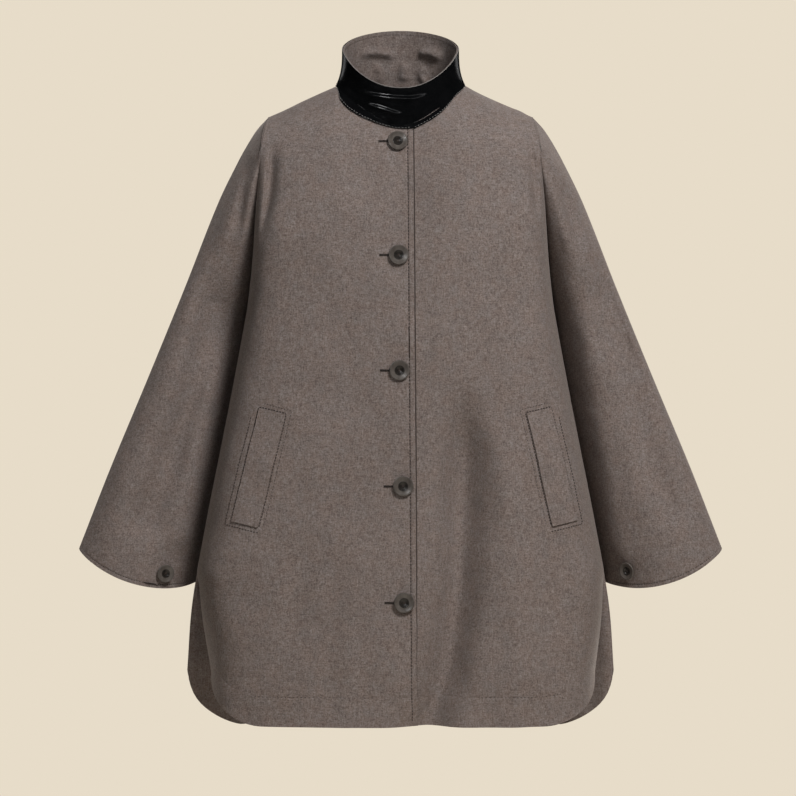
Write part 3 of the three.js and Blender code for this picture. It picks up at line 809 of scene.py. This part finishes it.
def ramp(tree, factor, stops, tone=1.0):
    """Colours between stops of (place, colour), all multiplied by tone. A number stands for a grey."""
    made = shader_node(tree, "ShaderNodeValToRGB", {"Fac": factor})
    elements = made.color_ramp.elements
    while len(elements) < len(stops):
        elements.new(0.5)
    for element, (position, color) in zip(elements, stops):
        element.position = position
        element.color = (*(tone * np.broadcast_to(color, 3)), 1)
    return made.outputs["Color"]


def half_sum(tree, a, b):
    total = shader_node(tree, "ShaderNodeMath", {0: a, 1: b}, operation="ADD").outputs[0]
    return shader_node(tree, "ShaderNodeMath", {0: total, 1: 0.5}, operation="MULTIPLY").outputs[0]


def mix(tree, factor, a, b, blend="MIX"):
    inputs = {0: factor, 6: a, 7: b}
    return shader_node(tree, "ShaderNodeMix", inputs, data_type="RGBA", blend_type=blend).outputs[2]


def multiplied(tree, a, b):
    return mix(tree, 1.0, a, b, "MULTIPLY")


def bump(tree, height, distance, strength, **below):
    """A bump normal; Normal is the one below it, where there are two."""
    inputs = {"Height": height, "Distance": distance, "Strength": strength, **below}
    return shader_node(tree, "ShaderNodeBump", inputs).outputs["Normal"]


# Colours of the fibres, and where each lies in the mixture
WOOL_FIBRES = (
    (0.36, (0.095, 0.075, 0.066)), (0.47, (0.162, 0.128, 0.113)),
    (0.54, (0.196, 0.164, 0.151)), (0.66, (0.275, 0.235, 0.215)),
)
WARM = (1.02, 0.985, 0.965, 1)
COOL = (0.98, 1.0, 1.015, 1)


def wool_material(name, tone=1.0):
    """Heathered melton: fibres of several browns and greys, milled over a fine weave."""
    material, tree, surface = new_material(name)
    fleck = noise(tree, 520, detail=3, rough=0.65)
    weft = noise(tree, 330, rough=0.6, stretch=(0.45, 0.45, 1.8))
    warp = noise(tree, 330, rough=0.6, stretch=(1.8, 1.8, 0.4))
    cloud = noise(tree, 55, detail=3, rough=0.6)
    patch = noise(tree, 120, detail=3, rough=0.6, stretch=(1.2, 1.2, 0.8))
    large = noise(tree, 7)
    mixed = half_sum(tree, half_sum(tree, weft, warp), fleck)
    tint = mix(tree, ramp(tree, cloud, [(0.35, 0), (0.65, 1)]), WARM, COOL)
    color = multiplied(tree, ramp(tree, mixed, WOOL_FIBRES, tone), tint)
    color = multiplied(tree, color, ramp(tree, patch, [(0.3, 0.93), (0.7, 1.07)]))
    color = multiplied(tree, color, ramp(tree, large, [(0.3, 0.93), (0.7, 1)]))
    weave = bump(tree, mixed, 0.0009, 0.45)
    fuzz = noise(tree, 1500, rough=0.7)
    set_inputs(tree, surface, {
        "Base Color": color, "Roughness": 0.95, "Specular IOR Level": 0.18,
        "Sheen Weight": 0.22, "Sheen Roughness": 0.45, "Sheen Tint": (0.80, 0.72, 0.66, 1),
        "Normal": bump(tree, fuzz, 0.0003, 0.3, Normal=weave),
    })
    return material


def leather_material():
    """Black patent leather, with fine cracks where it has been bent."""
    material, tree, surface = new_material("patent_leather")
    grain = shader_node(tree, "ShaderNodeTexVoronoi", {
        "Vector": stretched(tree, (1, 1, 1)), "Scale": 420, "Randomness": 1.0,
    }, feature="SMOOTH_F1").outputs["Distance"]
    scuff = noise(tree, 60, detail=5, rough=0.7)
    wrinkle = noise(tree, 90, detail=4, rough=0.6, stretch=(1, 1, 2.6), distortion=0.8)
    creased = bump(tree, wrinkle, 0.0006, 0.35)
    set_inputs(tree, surface, {
        "Base Color": ramp(tree, scuff, [(0.3, (0.0022, 0.0024, 0.0026)), (0.8, (0.005, 0.005, 0.0055))]),
        "Roughness": ramp(tree, scuff, [(0.3, 0.12), (0.75, 0.26)]),
        "Specular IOR Level": 0.38, "Coat Weight": 0.3, "Coat Roughness": 0.1,
        "Normal": bump(tree, grain, 0.0002, 0.2, Normal=creased),
    })
    return material


def horn_material(name, tone=1.0):
    """Polished dark horn, faintly clouded."""
    material, tree, surface = new_material(name)
    cloud = noise(tree, 140, detail=3, rough=0.6, stretch=(1, 1, 0.5))
    set_inputs(tree, surface, {
        "Base Color": ramp(tree, cloud, [(0.3, (0.060, 0.050, 0.043)), (0.7, (0.105, 0.091, 0.080))], tone),
        "Roughness": ramp(tree, noise(tree, 700), [(0.3, 0.30), (0.7, 0.42)]),
        "Coat Weight": 0.25, "Coat Roughness": 0.22,
    })
    return material


def thread_material(name, color):
    """Twisted sewing thread. The same finish makes the pale line along the collar's rim, and, nearly black,
    paints the shade inside the buttonholes.
    """
    material, tree, surface = new_material(name)
    twist = noise(tree, 1400)
    pale = tuple(1.5 * c for c in color)
    set_inputs(tree, surface, {
        "Base Color": ramp(tree, twist, [(0.35, color), (0.7, pale)]),
        "Roughness": 0.7, "Normal": bump(tree, twist, 0.0003, 0.5),
    })
    return material


WOOL = wool_material("wool")
# The collar's lining takes the coat's wool darkened to 0.84: painted shade for the inside of the collar.
COLLAR_WOOL_SHADED = wool_material("collar_wool_painted_shade", 0.84)
LEATHER = leather_material()
HORN = horn_material("button")
# Dark brown thread, darker than the cloth's own, so its colour also paints the shade of the troughs the
# stitches lie in. The same finish paints the shadow line under the right front's edge and the shade at the
# welts' feet.
THREAD_AND_SHADE = thread_material("thread", (0.036, 0.027, 0.023))
PALE_RIM_LINE = thread_material("pale_rim_line", (0.17, 0.155, 0.145))
PALE_THREAD = thread_material("pale_thread", (0.22, 0.21, 0.20))
DARK_HORN = horn_material("button_middle", 0.22)
# Nearly black, it paints the shade inside the cut of each buttonhole.
SLIT_SHADE = thread_material("buttonhole_shade", (0.012, 0.009, 0.008))


# The coat


def body_freedom(grid, side, mirror):
    """None at the side seam, the crease and the shoulder seam, and all a little way in."""
    x, z = grid[..., 0], grid[..., 2]
    below = np.abs(grid[..., 1]) / 12
    return smooth((1 - np.abs(x) / panel_width(z, side, mirror)) * SIDE_CALM) * smooth(below)


def coat_sheet():
    """The outer faces of the fronts, the back and the sleeves, as one sheet."""
    sheet = Sheet()
    right, left = front_right_body(), front_left_body()
    backs = {mirror: back_body(mirror) for _, mirror in HANDS}
    for grid in (right, left, *backs.values()):
        hem_dip(grid)
    loose = calm_ends(SLEEVE_SHARES, SLEEVE_CALM) * smooth((TIP_Z - SLEEVE_Z) / 60)[:, None]
    sheet.grid(right, "front_right", True, body_freedom(right, FRONT, -1))
    sheet.grid(left, "front_left", False, body_freedom(left, FRONT, 1))
    for hand, mirror in HANDS:
        sheet.grid(backs[mirror], "back", mirror > 0, body_freedom(backs[mirror], BACK, mirror))
        for side in (FRONT, BACK):
            half = sleeve_point(SLEEVE_SHARES, SLEEVE_Z[:, None], side, mirror)
            sheet.grid(half, f"sleeve_{hand}", mirror == side.sign, loose)
    sheet.close()
    sheet.points = sheet.points + sheet.normals * (wavy(sheet.points) * sheet.freedom)[:, None]
    sheet.normals = sheet.normals_of(sheet.points)
    # at the shoulder's tip and at the underarm, where panels meet at a point, the outside is known
    for _, mirror in HANDS:
        underarm = [mirror * half_width(UNDERARM_Z), side_y(UNDERARM_Z, FRONT), UNDERARM_Z]
        tip = [mirror * TIP_X, 0, TIP_Z]
        for spot, outside in ((underarm, [0, 0, -1]), (tip, [mirror * 0.57, 0, 0.82])):
            sheet.normals[np.argmin(np.linalg.norm(sheet.points - spot, axis=1))] = outside
    return sheet


def seam_share(points, body):
    """How much of an edge's rounding is left at each point: little where panels meet in a soft crease."""
    if body:
        joined = (np.abs(points[:, 0]) > NECK_HALF_WIDTH + 2) & (points[:, 2] > VENT_TOP_Z + 4)
    else:
        joined = points[:, 2] > UNDERARM_Z - 3
    return np.where(joined, 0.04, 1.0)


def make_coat():
    sheet = coat_sheet()
    made = {}
    for node in ("front_right", "front_left", "back", "sleeve_right", "sleeve_left"):
        points, normals, faces = sheet.piece(node)
        share = seam_share(points, not node.startswith("sleeve"))
        points, shading, faces = wall(points, normals, faces, WALL, 0, 0.7 * share, SEAM_GAP * share)
        piece = mesh_object(f"{node}_cloth", points, faces, WOOL, shading)
        made[node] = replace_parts(piece, node)
    return made


def make_underlaps():
    """The strips of the back that lie under the fronts at the side vents."""
    made = []
    for hand, mirror in HANDS:
        bottom = panel_width(CORNER_TOP_Z, BACK, mirror)
        columns = []
        for across in np.concatenate([[0, 1.5, 4, 8], np.linspace(13, UNDERLAP.width, 20)]):
            hem = hem_z(bottom - across, BACK, bottom) + 1.5 + UNDERLAP.rise * smooth((across - 66) / 42)
            z = lerp(VENT_TOP_Z - 6, hem, np.linspace(0, 1, 60))
            x = mirror * (half_width(z) - 0.5 - across * np.clip((VENT_TOP_Z - z) / 60, 0.1, 1))
            bulge = UNDERLAP.bulge * smooth(across / 7) * (1 - smooth((across - 10) / 24))
            wave = 1.2 * np.sin(z / 31 + mirror) * across / 40
            y = UNDERLAP.depth * (across / UNDERLAP.width) ** 0.9 + wave - bulge - 1
            columns.append(np.column_stack([x, y, z]))
        grid = np.stack(columns, axis=1)
        made.append(front_strip(f"underlap_{hand}", grid, WOOL, UNDERLAP.thick, 0, 0.6, flip=mirror < 0))
    return made


def collar_point(angle, t):
    angle, t = np.broadcast_arrays(np.asarray(angle, float), np.asarray(t, float))
    tilt = np.arcsin(np.clip(np.sin(angle), -1, 1))
    front = np.cos(angle) >= 0
    neck = np.where(front[..., None], neck_point(tilt, FRONT), neck_point(tilt, BACK))
    c = np.abs(np.cos(angle))
    rim_x = RIM.half_width * np.sin(angle)
    rim_y = np.where(front, -RIM.front, RIM.back) * c
    rim_z = np.where(front, lerp(RIM.z_side, RIM.z_front, c**1.4), lerp(RIM.z_side, RIM.z_back, c))
    ease = 1 - (1 - t) ** 3
    under = smooth((angle - (2 * math.pi - 0.75)) / 0.5) * COLLAR_SHIFT
    x = -lerp(neck[..., 0], rim_x, ease)
    y = lerp(neck[..., 1], rim_y, ease) + under
    point = np.stack([x, y, lerp(neck[..., 2] + COLLAR_GAP, rim_z, t)], axis=-1)
    flare = smooth(x / COLLAR_END_X) * (1 - t) ** 2 * (angle < 0)
    return point + flare[..., None] * COLLAR_END_FLARE


def collar_skirt(angle, d):
    """The leather below the neckline: d goes from the neckline to the leather's lower edge on the front."""
    angle, d = np.broadcast_arrays(np.asarray(angle, float), np.asarray(d, float))
    base = collar_point(angle, 0.0)
    x, top = base[..., 0], base[..., 2] - COLLAR_GAP
    under = angle > math.pi
    low = np.minimum(value(LEATHER_HEM, 1, x), top)
    low = np.where((np.cos(angle) <= 0) | (under & (x < 8)), top, low)
    z = lerp(top, low, d)
    point, normal = front_point(x, z)
    over = point + normal * LEATHER_LIFT + (under_shift(x, z) * under)[..., None] * [0, 1, 0]
    lifted = smooth(d * 2.5) * smooth((top - low) / 1.5) * smooth((86 - np.abs(x)) / 6)
    return lerp(base, over, lifted[..., None])


COLLAR_START = -math.asin(COLLAR_END_X / NECK_HALF_WIDTH)
COLLAR_STOP = 2 * math.pi + math.asin(-COLLAR_UNDER_X / NECK_HALF_WIDTH)
COLLAR_ANGLES = np.linspace(COLLAR_START, COLLAR_STOP, 241)
COLLAR_HEIGHTS = np.linspace(0, 1, 33)
SKIRT_ROWS = np.array([1, 0.93, 0.8, 0.65, 0.5, 0.38, 0.28, 0.18, 0.09])
LINING_DROP = 7  # how far the lining reaches below the neckline behind
RIM_LINE_REACH = 0.56 * math.pi  # how far the pale line along the rim runs round from the front


def collar_sheet(lining):
    """The surface of one layer of the collar, and the level direction in which it is thick."""
    points = collar_point(COLLAR_ANGLES[None, :], COLLAR_HEIGHTS[:, None])
    if lining:
        low = points[0] - smooth(-1.5 * np.cos(COLLAR_ANGLES))[:, None] * [0, 0, LINING_DROP]
        points = np.concatenate([[low, (low + points[0]) / 2], points])
    else:
        points = np.concatenate([collar_skirt(COLLAR_ANGLES[None, :], SKIRT_ROWS[:, None]), points])
    ring = Sheet()
    ring.grid(points, "collar", False)
    ring.close()
    skirt = smooth((value(LEATHER_HEM, 1, ring.points[:, 0]) + 12 - ring.points[:, 2]) / 8)
    skirt = skirt * (ring.points[:, 1] < -4) * (not lining)
    level = ring.normals * np.stack([np.ones(len(skirt)), np.ones(len(skirt)), skirt], axis=-1)
    level /= np.linalg.norm(level, axis=1, keepdims=True)
    there = ring.points[:, 1] > 0 if lining else ring.points[:, 1] < 0
    folds = LINING_FOLDS if lining else COLLAR_CREASES
    height = relief(folds, ring.points[:, 0], ring.points[:, 2]) * there
    ring.points = ring.points + ring.normals * height[:, None]
    ring.normals = ring.normals_of(ring.points)
    return ring, level


def make_collar():
    made = {}
    # node, slot, material, thickness, place of the outer face, whether it is the lining, and inset
    layers = (
        ("collar_outer", "patent_leather", LEATHER, LEATHER_WALL, 0, False, 0.5),
        ("collar_inner", "wool", COLLAR_WOOL_SHADED, COLLAR_WOOL_WALL, -LEATHER_WALL - SEAM_GAP, True, 0.7),
    )
    for node, slot, material, thick, lift, lining, inset in layers:
        ring, level = collar_sheet(lining)
        points, shading, faces = wall(ring.points, ring.normals, ring.faces, thick, lift, inset, shift=level)
        piece = mesh_object(f"{node}_layer", points, faces, material, shading)
        made[node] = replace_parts(piece, node)
    rim_line_spans = (COLLAR_ANGLES < RIM_LINE_REACH, COLLAR_ANGLES > 2 * math.pi - RIM_LINE_REACH)
    for i, chosen in enumerate(rim_line_spans):
        rim = collar_point(COLLAR_ANGLES[chosen], 1.0)
        inward = unit(np.gradient(rim, axis=0)[:, [1, 0, 2]] * [1, -1, 0])
        inward *= -np.sign(np.sum(inward * rim, axis=1, keepdims=True))
        tube(f"collar_edge_{i + 1}", rim + inward * 0.7 + [0, 0, 0.1], 0.6, PALE_RIM_LINE)
    return made


def on_welt(spot, u, v):
    """Points and normals on the front at places across and along a welt."""
    turn = math.radians(spot.slant)
    x = spot.x + u * math.cos(turn) + v * math.sin(turn)
    return front_point(x, spot.z - u * math.sin(turn) + v * math.cos(turn))


def make_welts():
    made = {}
    for node, spot in WELTS.items():
        across = np.linspace(-spot.width / 2, spot.width / 2, 25)
        along = np.linspace(spot.length / 2, -spot.length / 2, 89)
        grid, _ = on_welt(spot, *np.meshgrid(across, along))
        piece = front_strip(f"{node}_strip", grid, WOOL, WELT.thick, WELT.lift, WELT.inset)
        made[node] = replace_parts(piece, node)
    return made


def welt_line(spot, corners):
    """A line on the front through places given across and along a welt."""
    corners = np.array(corners, float)
    distance = walked(corners)
    at = np.arange(0, distance[-1], LINE_STEP)
    return on_welt(spot, *(np.interp(at, distance, corners[:, k]) for k in (0, 1)))


LINE_STEP = 2.0  # between the points of a line that stitches follow
EDGE_SUNK = 0.55  # how far stitches lie below the cloth's face at the front edge
HEM_SUNK = 0.62

# Distance from stitch to stitch, length and radius of one, and its thread, in each row
STITCHES = {
    "front_edge_stitches": (4.4, 3.5, 0.72, THREAD_AND_SHADE),
    "cuff_stitches": (3.8, 3.0, 0.5, THREAD_AND_SHADE),
    "hem_stitches": (5.2, 2.6, 0.5, THREAD_AND_SHADE),
    "collar_base_stitches": (4.4, 2.7, 0.34, PALE_THREAD),
    "collar_lining_stitches": (4.0, 3.1, 0.4, THREAD_AND_SHADE),
    "welt_stitches_and_foot_shade": (4.0, 3.2, 0.75, THREAD_AND_SHADE),
    "welt_inner_stitches": (4.0, 2.6, 0.45, THREAD_AND_SHADE),
}


def stitch_front_edge():
    z = np.arange(-58, -843, -LINE_STEP)
    point, normal = front_point(edge_x(z) - EDGE_STITCH, z)
    stitch_row("front_edge_stitches", [(point - normal * EDGE_SUNK, normal)])
    # A dark tube sunk just under the right front's edge paints the shadow line where the right front lies
    # over the left one.
    point, normal = front_point(edge_x(z) + 0.5, z)
    tube("front_edge_shadow_line", point - normal * 2.1, 0.8, THREAD_AND_SHADE, sides=6)


def stitch_cuffs():
    shares = np.linspace(0.03, 0.97, 160)
    height = np.full(shares.shape, CUFF_INNER_Z + CUFF_STITCH)
    runs = [sleeve_face(shares, height, side, mirror) for _, mirror in HANDS for side in (FRONT, BACK)]
    stitch_row("cuff_stitches", runs)


def stitch_hem():
    runs = []
    for start, stop in ((-208, -28), (104, 212)):
        x = np.arange(start, stop, LINE_STEP)
        point, normal = front_point(x, hem_z(x, FRONT, HEM_HALF_WIDTH) + HEM_STITCH)
        runs.append((point - normal * HEM_SUNK, normal))
    stitch_row("hem_stitches", runs)


def stitch_collar():
    runs = []
    for start, stop in ((COLLAR_START + 0.03, math.pi), (math.pi, 2 * math.pi - 0.13)):
        angles = np.linspace(start, stop, 200)
        ahead = np.cos(angles)
        away = unit(np.stack([-np.sin(angles), -ahead, 0.6 * np.maximum(ahead, 0)], axis=-1))
        foot = np.where(ahead[:, None] > 0.12, collar_skirt(angles, 0.86), collar_point(angles, 0.07))
        runs.append((foot + away * 0.1, away))
    stitch_row("collar_base_stitches", runs)

    angles = np.linspace(0.42 * math.pi, 1.58 * math.pi, 160)
    inside = np.stack([np.sin(angles), np.cos(angles), 0 * angles], axis=-1)
    line = collar_point(angles, 0.92) + inside * (LEATHER_WALL + SEAM_GAP + COLLAR_WOOL_WALL)
    stitch_row("collar_lining_stitches", [(line, inside)])


def stitch_welts():
    strong, faint = [], []
    for spot in WELTS.values():
        w, l, outer = spot.width / 2, spot.length / 2, math.copysign(1, spot.x)
        out, away, inner = outer * (w + 8), outer * w, -outer * (w + 7)
        strong.append(welt_line(spot, [(out, l - 14), (out, -l - 6), (inner, -l - 6)]))
        faint.append(welt_line(spot, [(inner, -l + 4), (inner, l + 6), (away, l + 7)]))
        # Dark stitches hugging three edges of the welt; being dark, they also paint the shade at the welt's
        # foot.
        strong.append(welt_line(spot, [
            (away, -l - 1), (away + outer, -l), (away + outer, l), (away, l + 1.2), (-away, l + 1.2),
            (-away - outer * 1.2, l), (-away - outer * 1.2, -l),
        ]))
    stitch_row("welt_stitches_and_foot_shade", strong)
    stitch_row("welt_inner_stitches", faint)


def cad_button(node):
    """Centre of a button's foot, its outward axis, radius and thickness, read from the frame."""
    co = np.array([v.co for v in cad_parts[node].data.vertices], float) / MM
    co = np.unique(np.round(co, 3), axis=0)
    centre = co.mean(axis=0)
    axis = np.linalg.eigh(np.cov((co - centre).T))[1][:, 0]
    axis *= -np.sign(axis[1])
    along = (co - centre) @ axis
    radius = np.linalg.norm((co - centre) - np.outer(along, axis), axis=1).max()
    return centre + axis * along.min(), axis, radius, np.ptp(along)


def lathe(profile, segments=72):
    """Points and faces of a profile of (radius, height), turned round the Z axis."""
    turns = 2 * np.pi * np.arange(segments) / segments
    circles = [
        np.column_stack([r * np.cos(turns), r * np.sin(turns), np.full(segments, h)])
        for r, h in profile[1:-1]
    ]
    points = np.concatenate([[[0, 0, profile[0, 1]], [0, 0, profile[-1, 1]]], *circles])
    faces = band_faces(len(circles), segments, first=2)
    last = len(points) - segments
    for k in range(segments):
        n = (k + 1) % segments
        faces += [[0, 2 + n, 2 + k], [1, last + k, last + n]]
    return points, faces


# Half sections of a button's dished horn and of its dark middle, from the foot round to the
# face, as shares of its radius and thickness
BUTTON_PROFILE = np.array([
    [0, 0], [0.55, 0], [0.8, 0.1], [0.93, 0.3], [0.99, 0.52], [1, 0.68], [0.985, 0.85],
    [0.95, 0.96], [0.9, 1], [0.85, 0.97], [0.8, 0.9], [0.71, 0.79], [0.6, 0.69], [0.5, 0.62],
    [0.42, 0.57], [0.37, 0.52], [0.34, 0.44], [0.32, 0.26], [0, 0.26],
])
MIDDLE_PROFILE = np.array([
    [0, 0.1], [0.47, 0.2], [0.49, 0.62], [0.47, 0.635], [0.42, 0.6], [0.37, 0.55],
    [0.33, 0.46], [0.3, 0.29], [0, 0.29],
])
HOLE_SPREAD = 1.5  # from a button's middle to each of its four holes, along x and y
CUFF_BUTTON_TILT = 0.3  # tangent of its lean to the front
CUFF_BUTTON_LIFT = 1.2
FRONT_BUTTONS = [f"button_{i + 1}" for i in range(5)]
CUFF_BUTTONS = [f"cuff_button_{hand}" for hand, _ in HANDS]


def rotation_about_z(angle):
    c, s = math.cos(angle), math.sin(angle)
    return np.array([[c, -s, 0], [s, c, 0], [0, 0, 1]])


def make_button(node, angle):
    foot, axis, radius, thick = cad_button(node)
    if node in CUFF_BUTTONS:  # hangs a little forward on its thread
        axis = unit(axis - [0, CUFF_BUTTON_TILT, 0])
        foot = foot + axis * CUFF_BUTTON_LIFT
    turn = np.array(Vector((0, 0, 1)).rotation_difference(Vector(axis)).to_matrix())
    spin = turn @ rotation_about_z(angle)

    points, faces = lathe(BUTTON_PROFILE * [radius, thick])
    horn = mesh_object(f"{node}_horn", points @ spin.T + foot, faces, HORN)
    horn.data.set_sharp_from_angle(angle=math.radians(50))
    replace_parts(horn, node)
    points, faces = lathe(MIDDLE_PROFILE * [radius, thick])
    mesh_object(f"{node}_middle", points @ spin.T + foot, faces, DARK_HORN)

    height = MIDDLE_PROFILE[-1, 1] * thick + 0.35
    threads = [(side, beside) for side in (-1, 1) for beside in (-0.45, 0, 0.45)]
    starts, ends = (
        np.array([[way * HOLE_SPREAD + beside, way * side * HOLE_SPREAD, height] for side, beside in threads])
        for way in (1, -1)
    )
    up = np.tile(axis, (len(threads), 1))
    points, faces = stitch_mesh(starts @ spin.T + foot, ends @ spin.T + foot, up, 0.32)
    mesh_object(f"{node}_thread", points, faces, THREAD_AND_SHADE)


def make_buttonholes():
    bars, slits = [], []
    for node in FRONT_BUTTONS:
        foot, _, radius, _ = cad_button(node)
        x = np.arange(foot[0] - radius - 12, foot[0] + 4, 0.95)
        for sign in (-1, 1):
            near, normals = front_point(x, foot[2] + sign * 0.45)
            far, _ = front_point(x, foot[2] + sign * 2.0)
            bars.append((near, far, normals))
        # A thin, nearly black strip over the cut of each buttonhole paints the shade inside it.
        grid, normals = front_point(x, foot[2] + np.array([[0.7], [-0.7]]))
        slits.append(grid + normals * 0.12)
    points, faces = stitch_mesh(*(np.concatenate(part) for part in zip(*bars)), 0.4)
    mesh_object("buttonhole_stitches", points, faces, THREAD_AND_SHADE)
    for i, grid in enumerate(slits):
        front_strip(f"buttonhole_{i + 1}", grid, SLIT_SHADE, 0.3, 0.1, 0.1)


# Soft lamps, which gloss doesn't show: name, place, size and power
LAMPS = (
    ("key", (1.35, -2.5, 1.95), 1.1, 129),
    ("fill", (-1.5, -3.7, 0.5), 2.6, 24),
    ("low", (0.4, -3.4, -1.3), 2.0, 5),
    ("top", (-0.4, 0.4, 2.6), 2.2, 14),
    ("back_left", (2.4, 2.8, 1.1), 1.6, 92),
    ("back_right", (-2.8, 2.4, 0.4), 2.4, 34),
)
# Lights that show only in the gloss of the leather and the buttons: name, place, width, height and power
STRIPS = (
    ("glint", (-1.5, -3.0, 1.6), 0.9, 0.7, 22),
    ("strip_above", (-0.25, -1.4, 0.7), 2.4, 0.16, 2.0),
    ("strip_right", (-1.9, 2.3, 0.3), 0.7, 1.2, 1.0),
    ("strip_left", (1.9, 2.3, 0.3), 0.7, 1.2, 1.0),
)


def area_light(name, place, aim, power, **settings):
    light = bpy.data.lights.new(name, "AREA")
    light.energy = power
    for key, setting in settings.items():
        setattr(light, key, setting)
    lamp = bpy.data.objects.new(name, light)
    lamp.location = place
    lamp.rotation_euler = (Vector(aim) - lamp.location).to_track_quat("-Z", "Y").to_euler()
    bpy.context.scene.collection.objects.link(lamp)
    return lamp


def make_stage():
    """A plain pale floor below the coat, an even backdrop, the lights and the camera."""
    material, tree, surface = new_material("floor")
    set_inputs(tree, surface, {"Base Color": (0.62, 0.55, 0.45, 1), "Roughness": 0.9})
    bpy.ops.mesh.primitive_circle_add(vertices=96, radius=1.5, fill_type="NGON", location=(0, 0, -1.25))
    floor = bpy.context.object
    floor.name = "floor"
    floor.data.materials.append(material)

    scene = bpy.context.scene
    world = bpy.data.worlds.new("studio")
    world.use_nodes = True
    backdrop = {"Color": (0.799, 0.716, 0.584, 1), "Strength": 1.0}
    set_inputs(world.node_tree, world.node_tree.nodes["Background"], backdrop)
    world.cycles_visibility.diffuse = False
    world.cycles_visibility.glossy = False
    scene.world = world
    scene.view_settings.view_transform = "Standard"

    for name, place, size, power in LAMPS:
        lamp = area_light(name, place, (0, 0, -0.4), power, shape="DISK", size=size)
        lamp.visible_glossy = False
    for name, place, width, height, power in STRIPS:
        strip = area_light(name, place, (0, 0, -0.1), power, shape="RECTANGLE", size=width, size_y=height)
        strip.visible_diffuse = False
        strip.visible_camera = False

    camera = bpy.data.cameras.new("camera")
    camera.sensor_width = 36
    camera.lens = 150.75
    viewer = bpy.data.objects.new("camera", camera)
    viewer.location = (-0.0034, -4.5, -0.416)
    viewer.rotation_euler = (math.pi / 2, 0, 0)
    scene.collection.objects.link(viewer)
    scene.camera = viewer


coat = make_coat()
underlaps = make_underlaps()
collar = make_collar()
welts = make_welts()
for index, button in enumerate(FRONT_BUTTONS + CUFF_BUTTONS):
    make_button(button, 0.5 + 0.9 * index)
stitch_front_edge()
stitch_cuffs()
stitch_hem()
stitch_collar()
stitch_welts()
make_buttonholes()
make_stage()
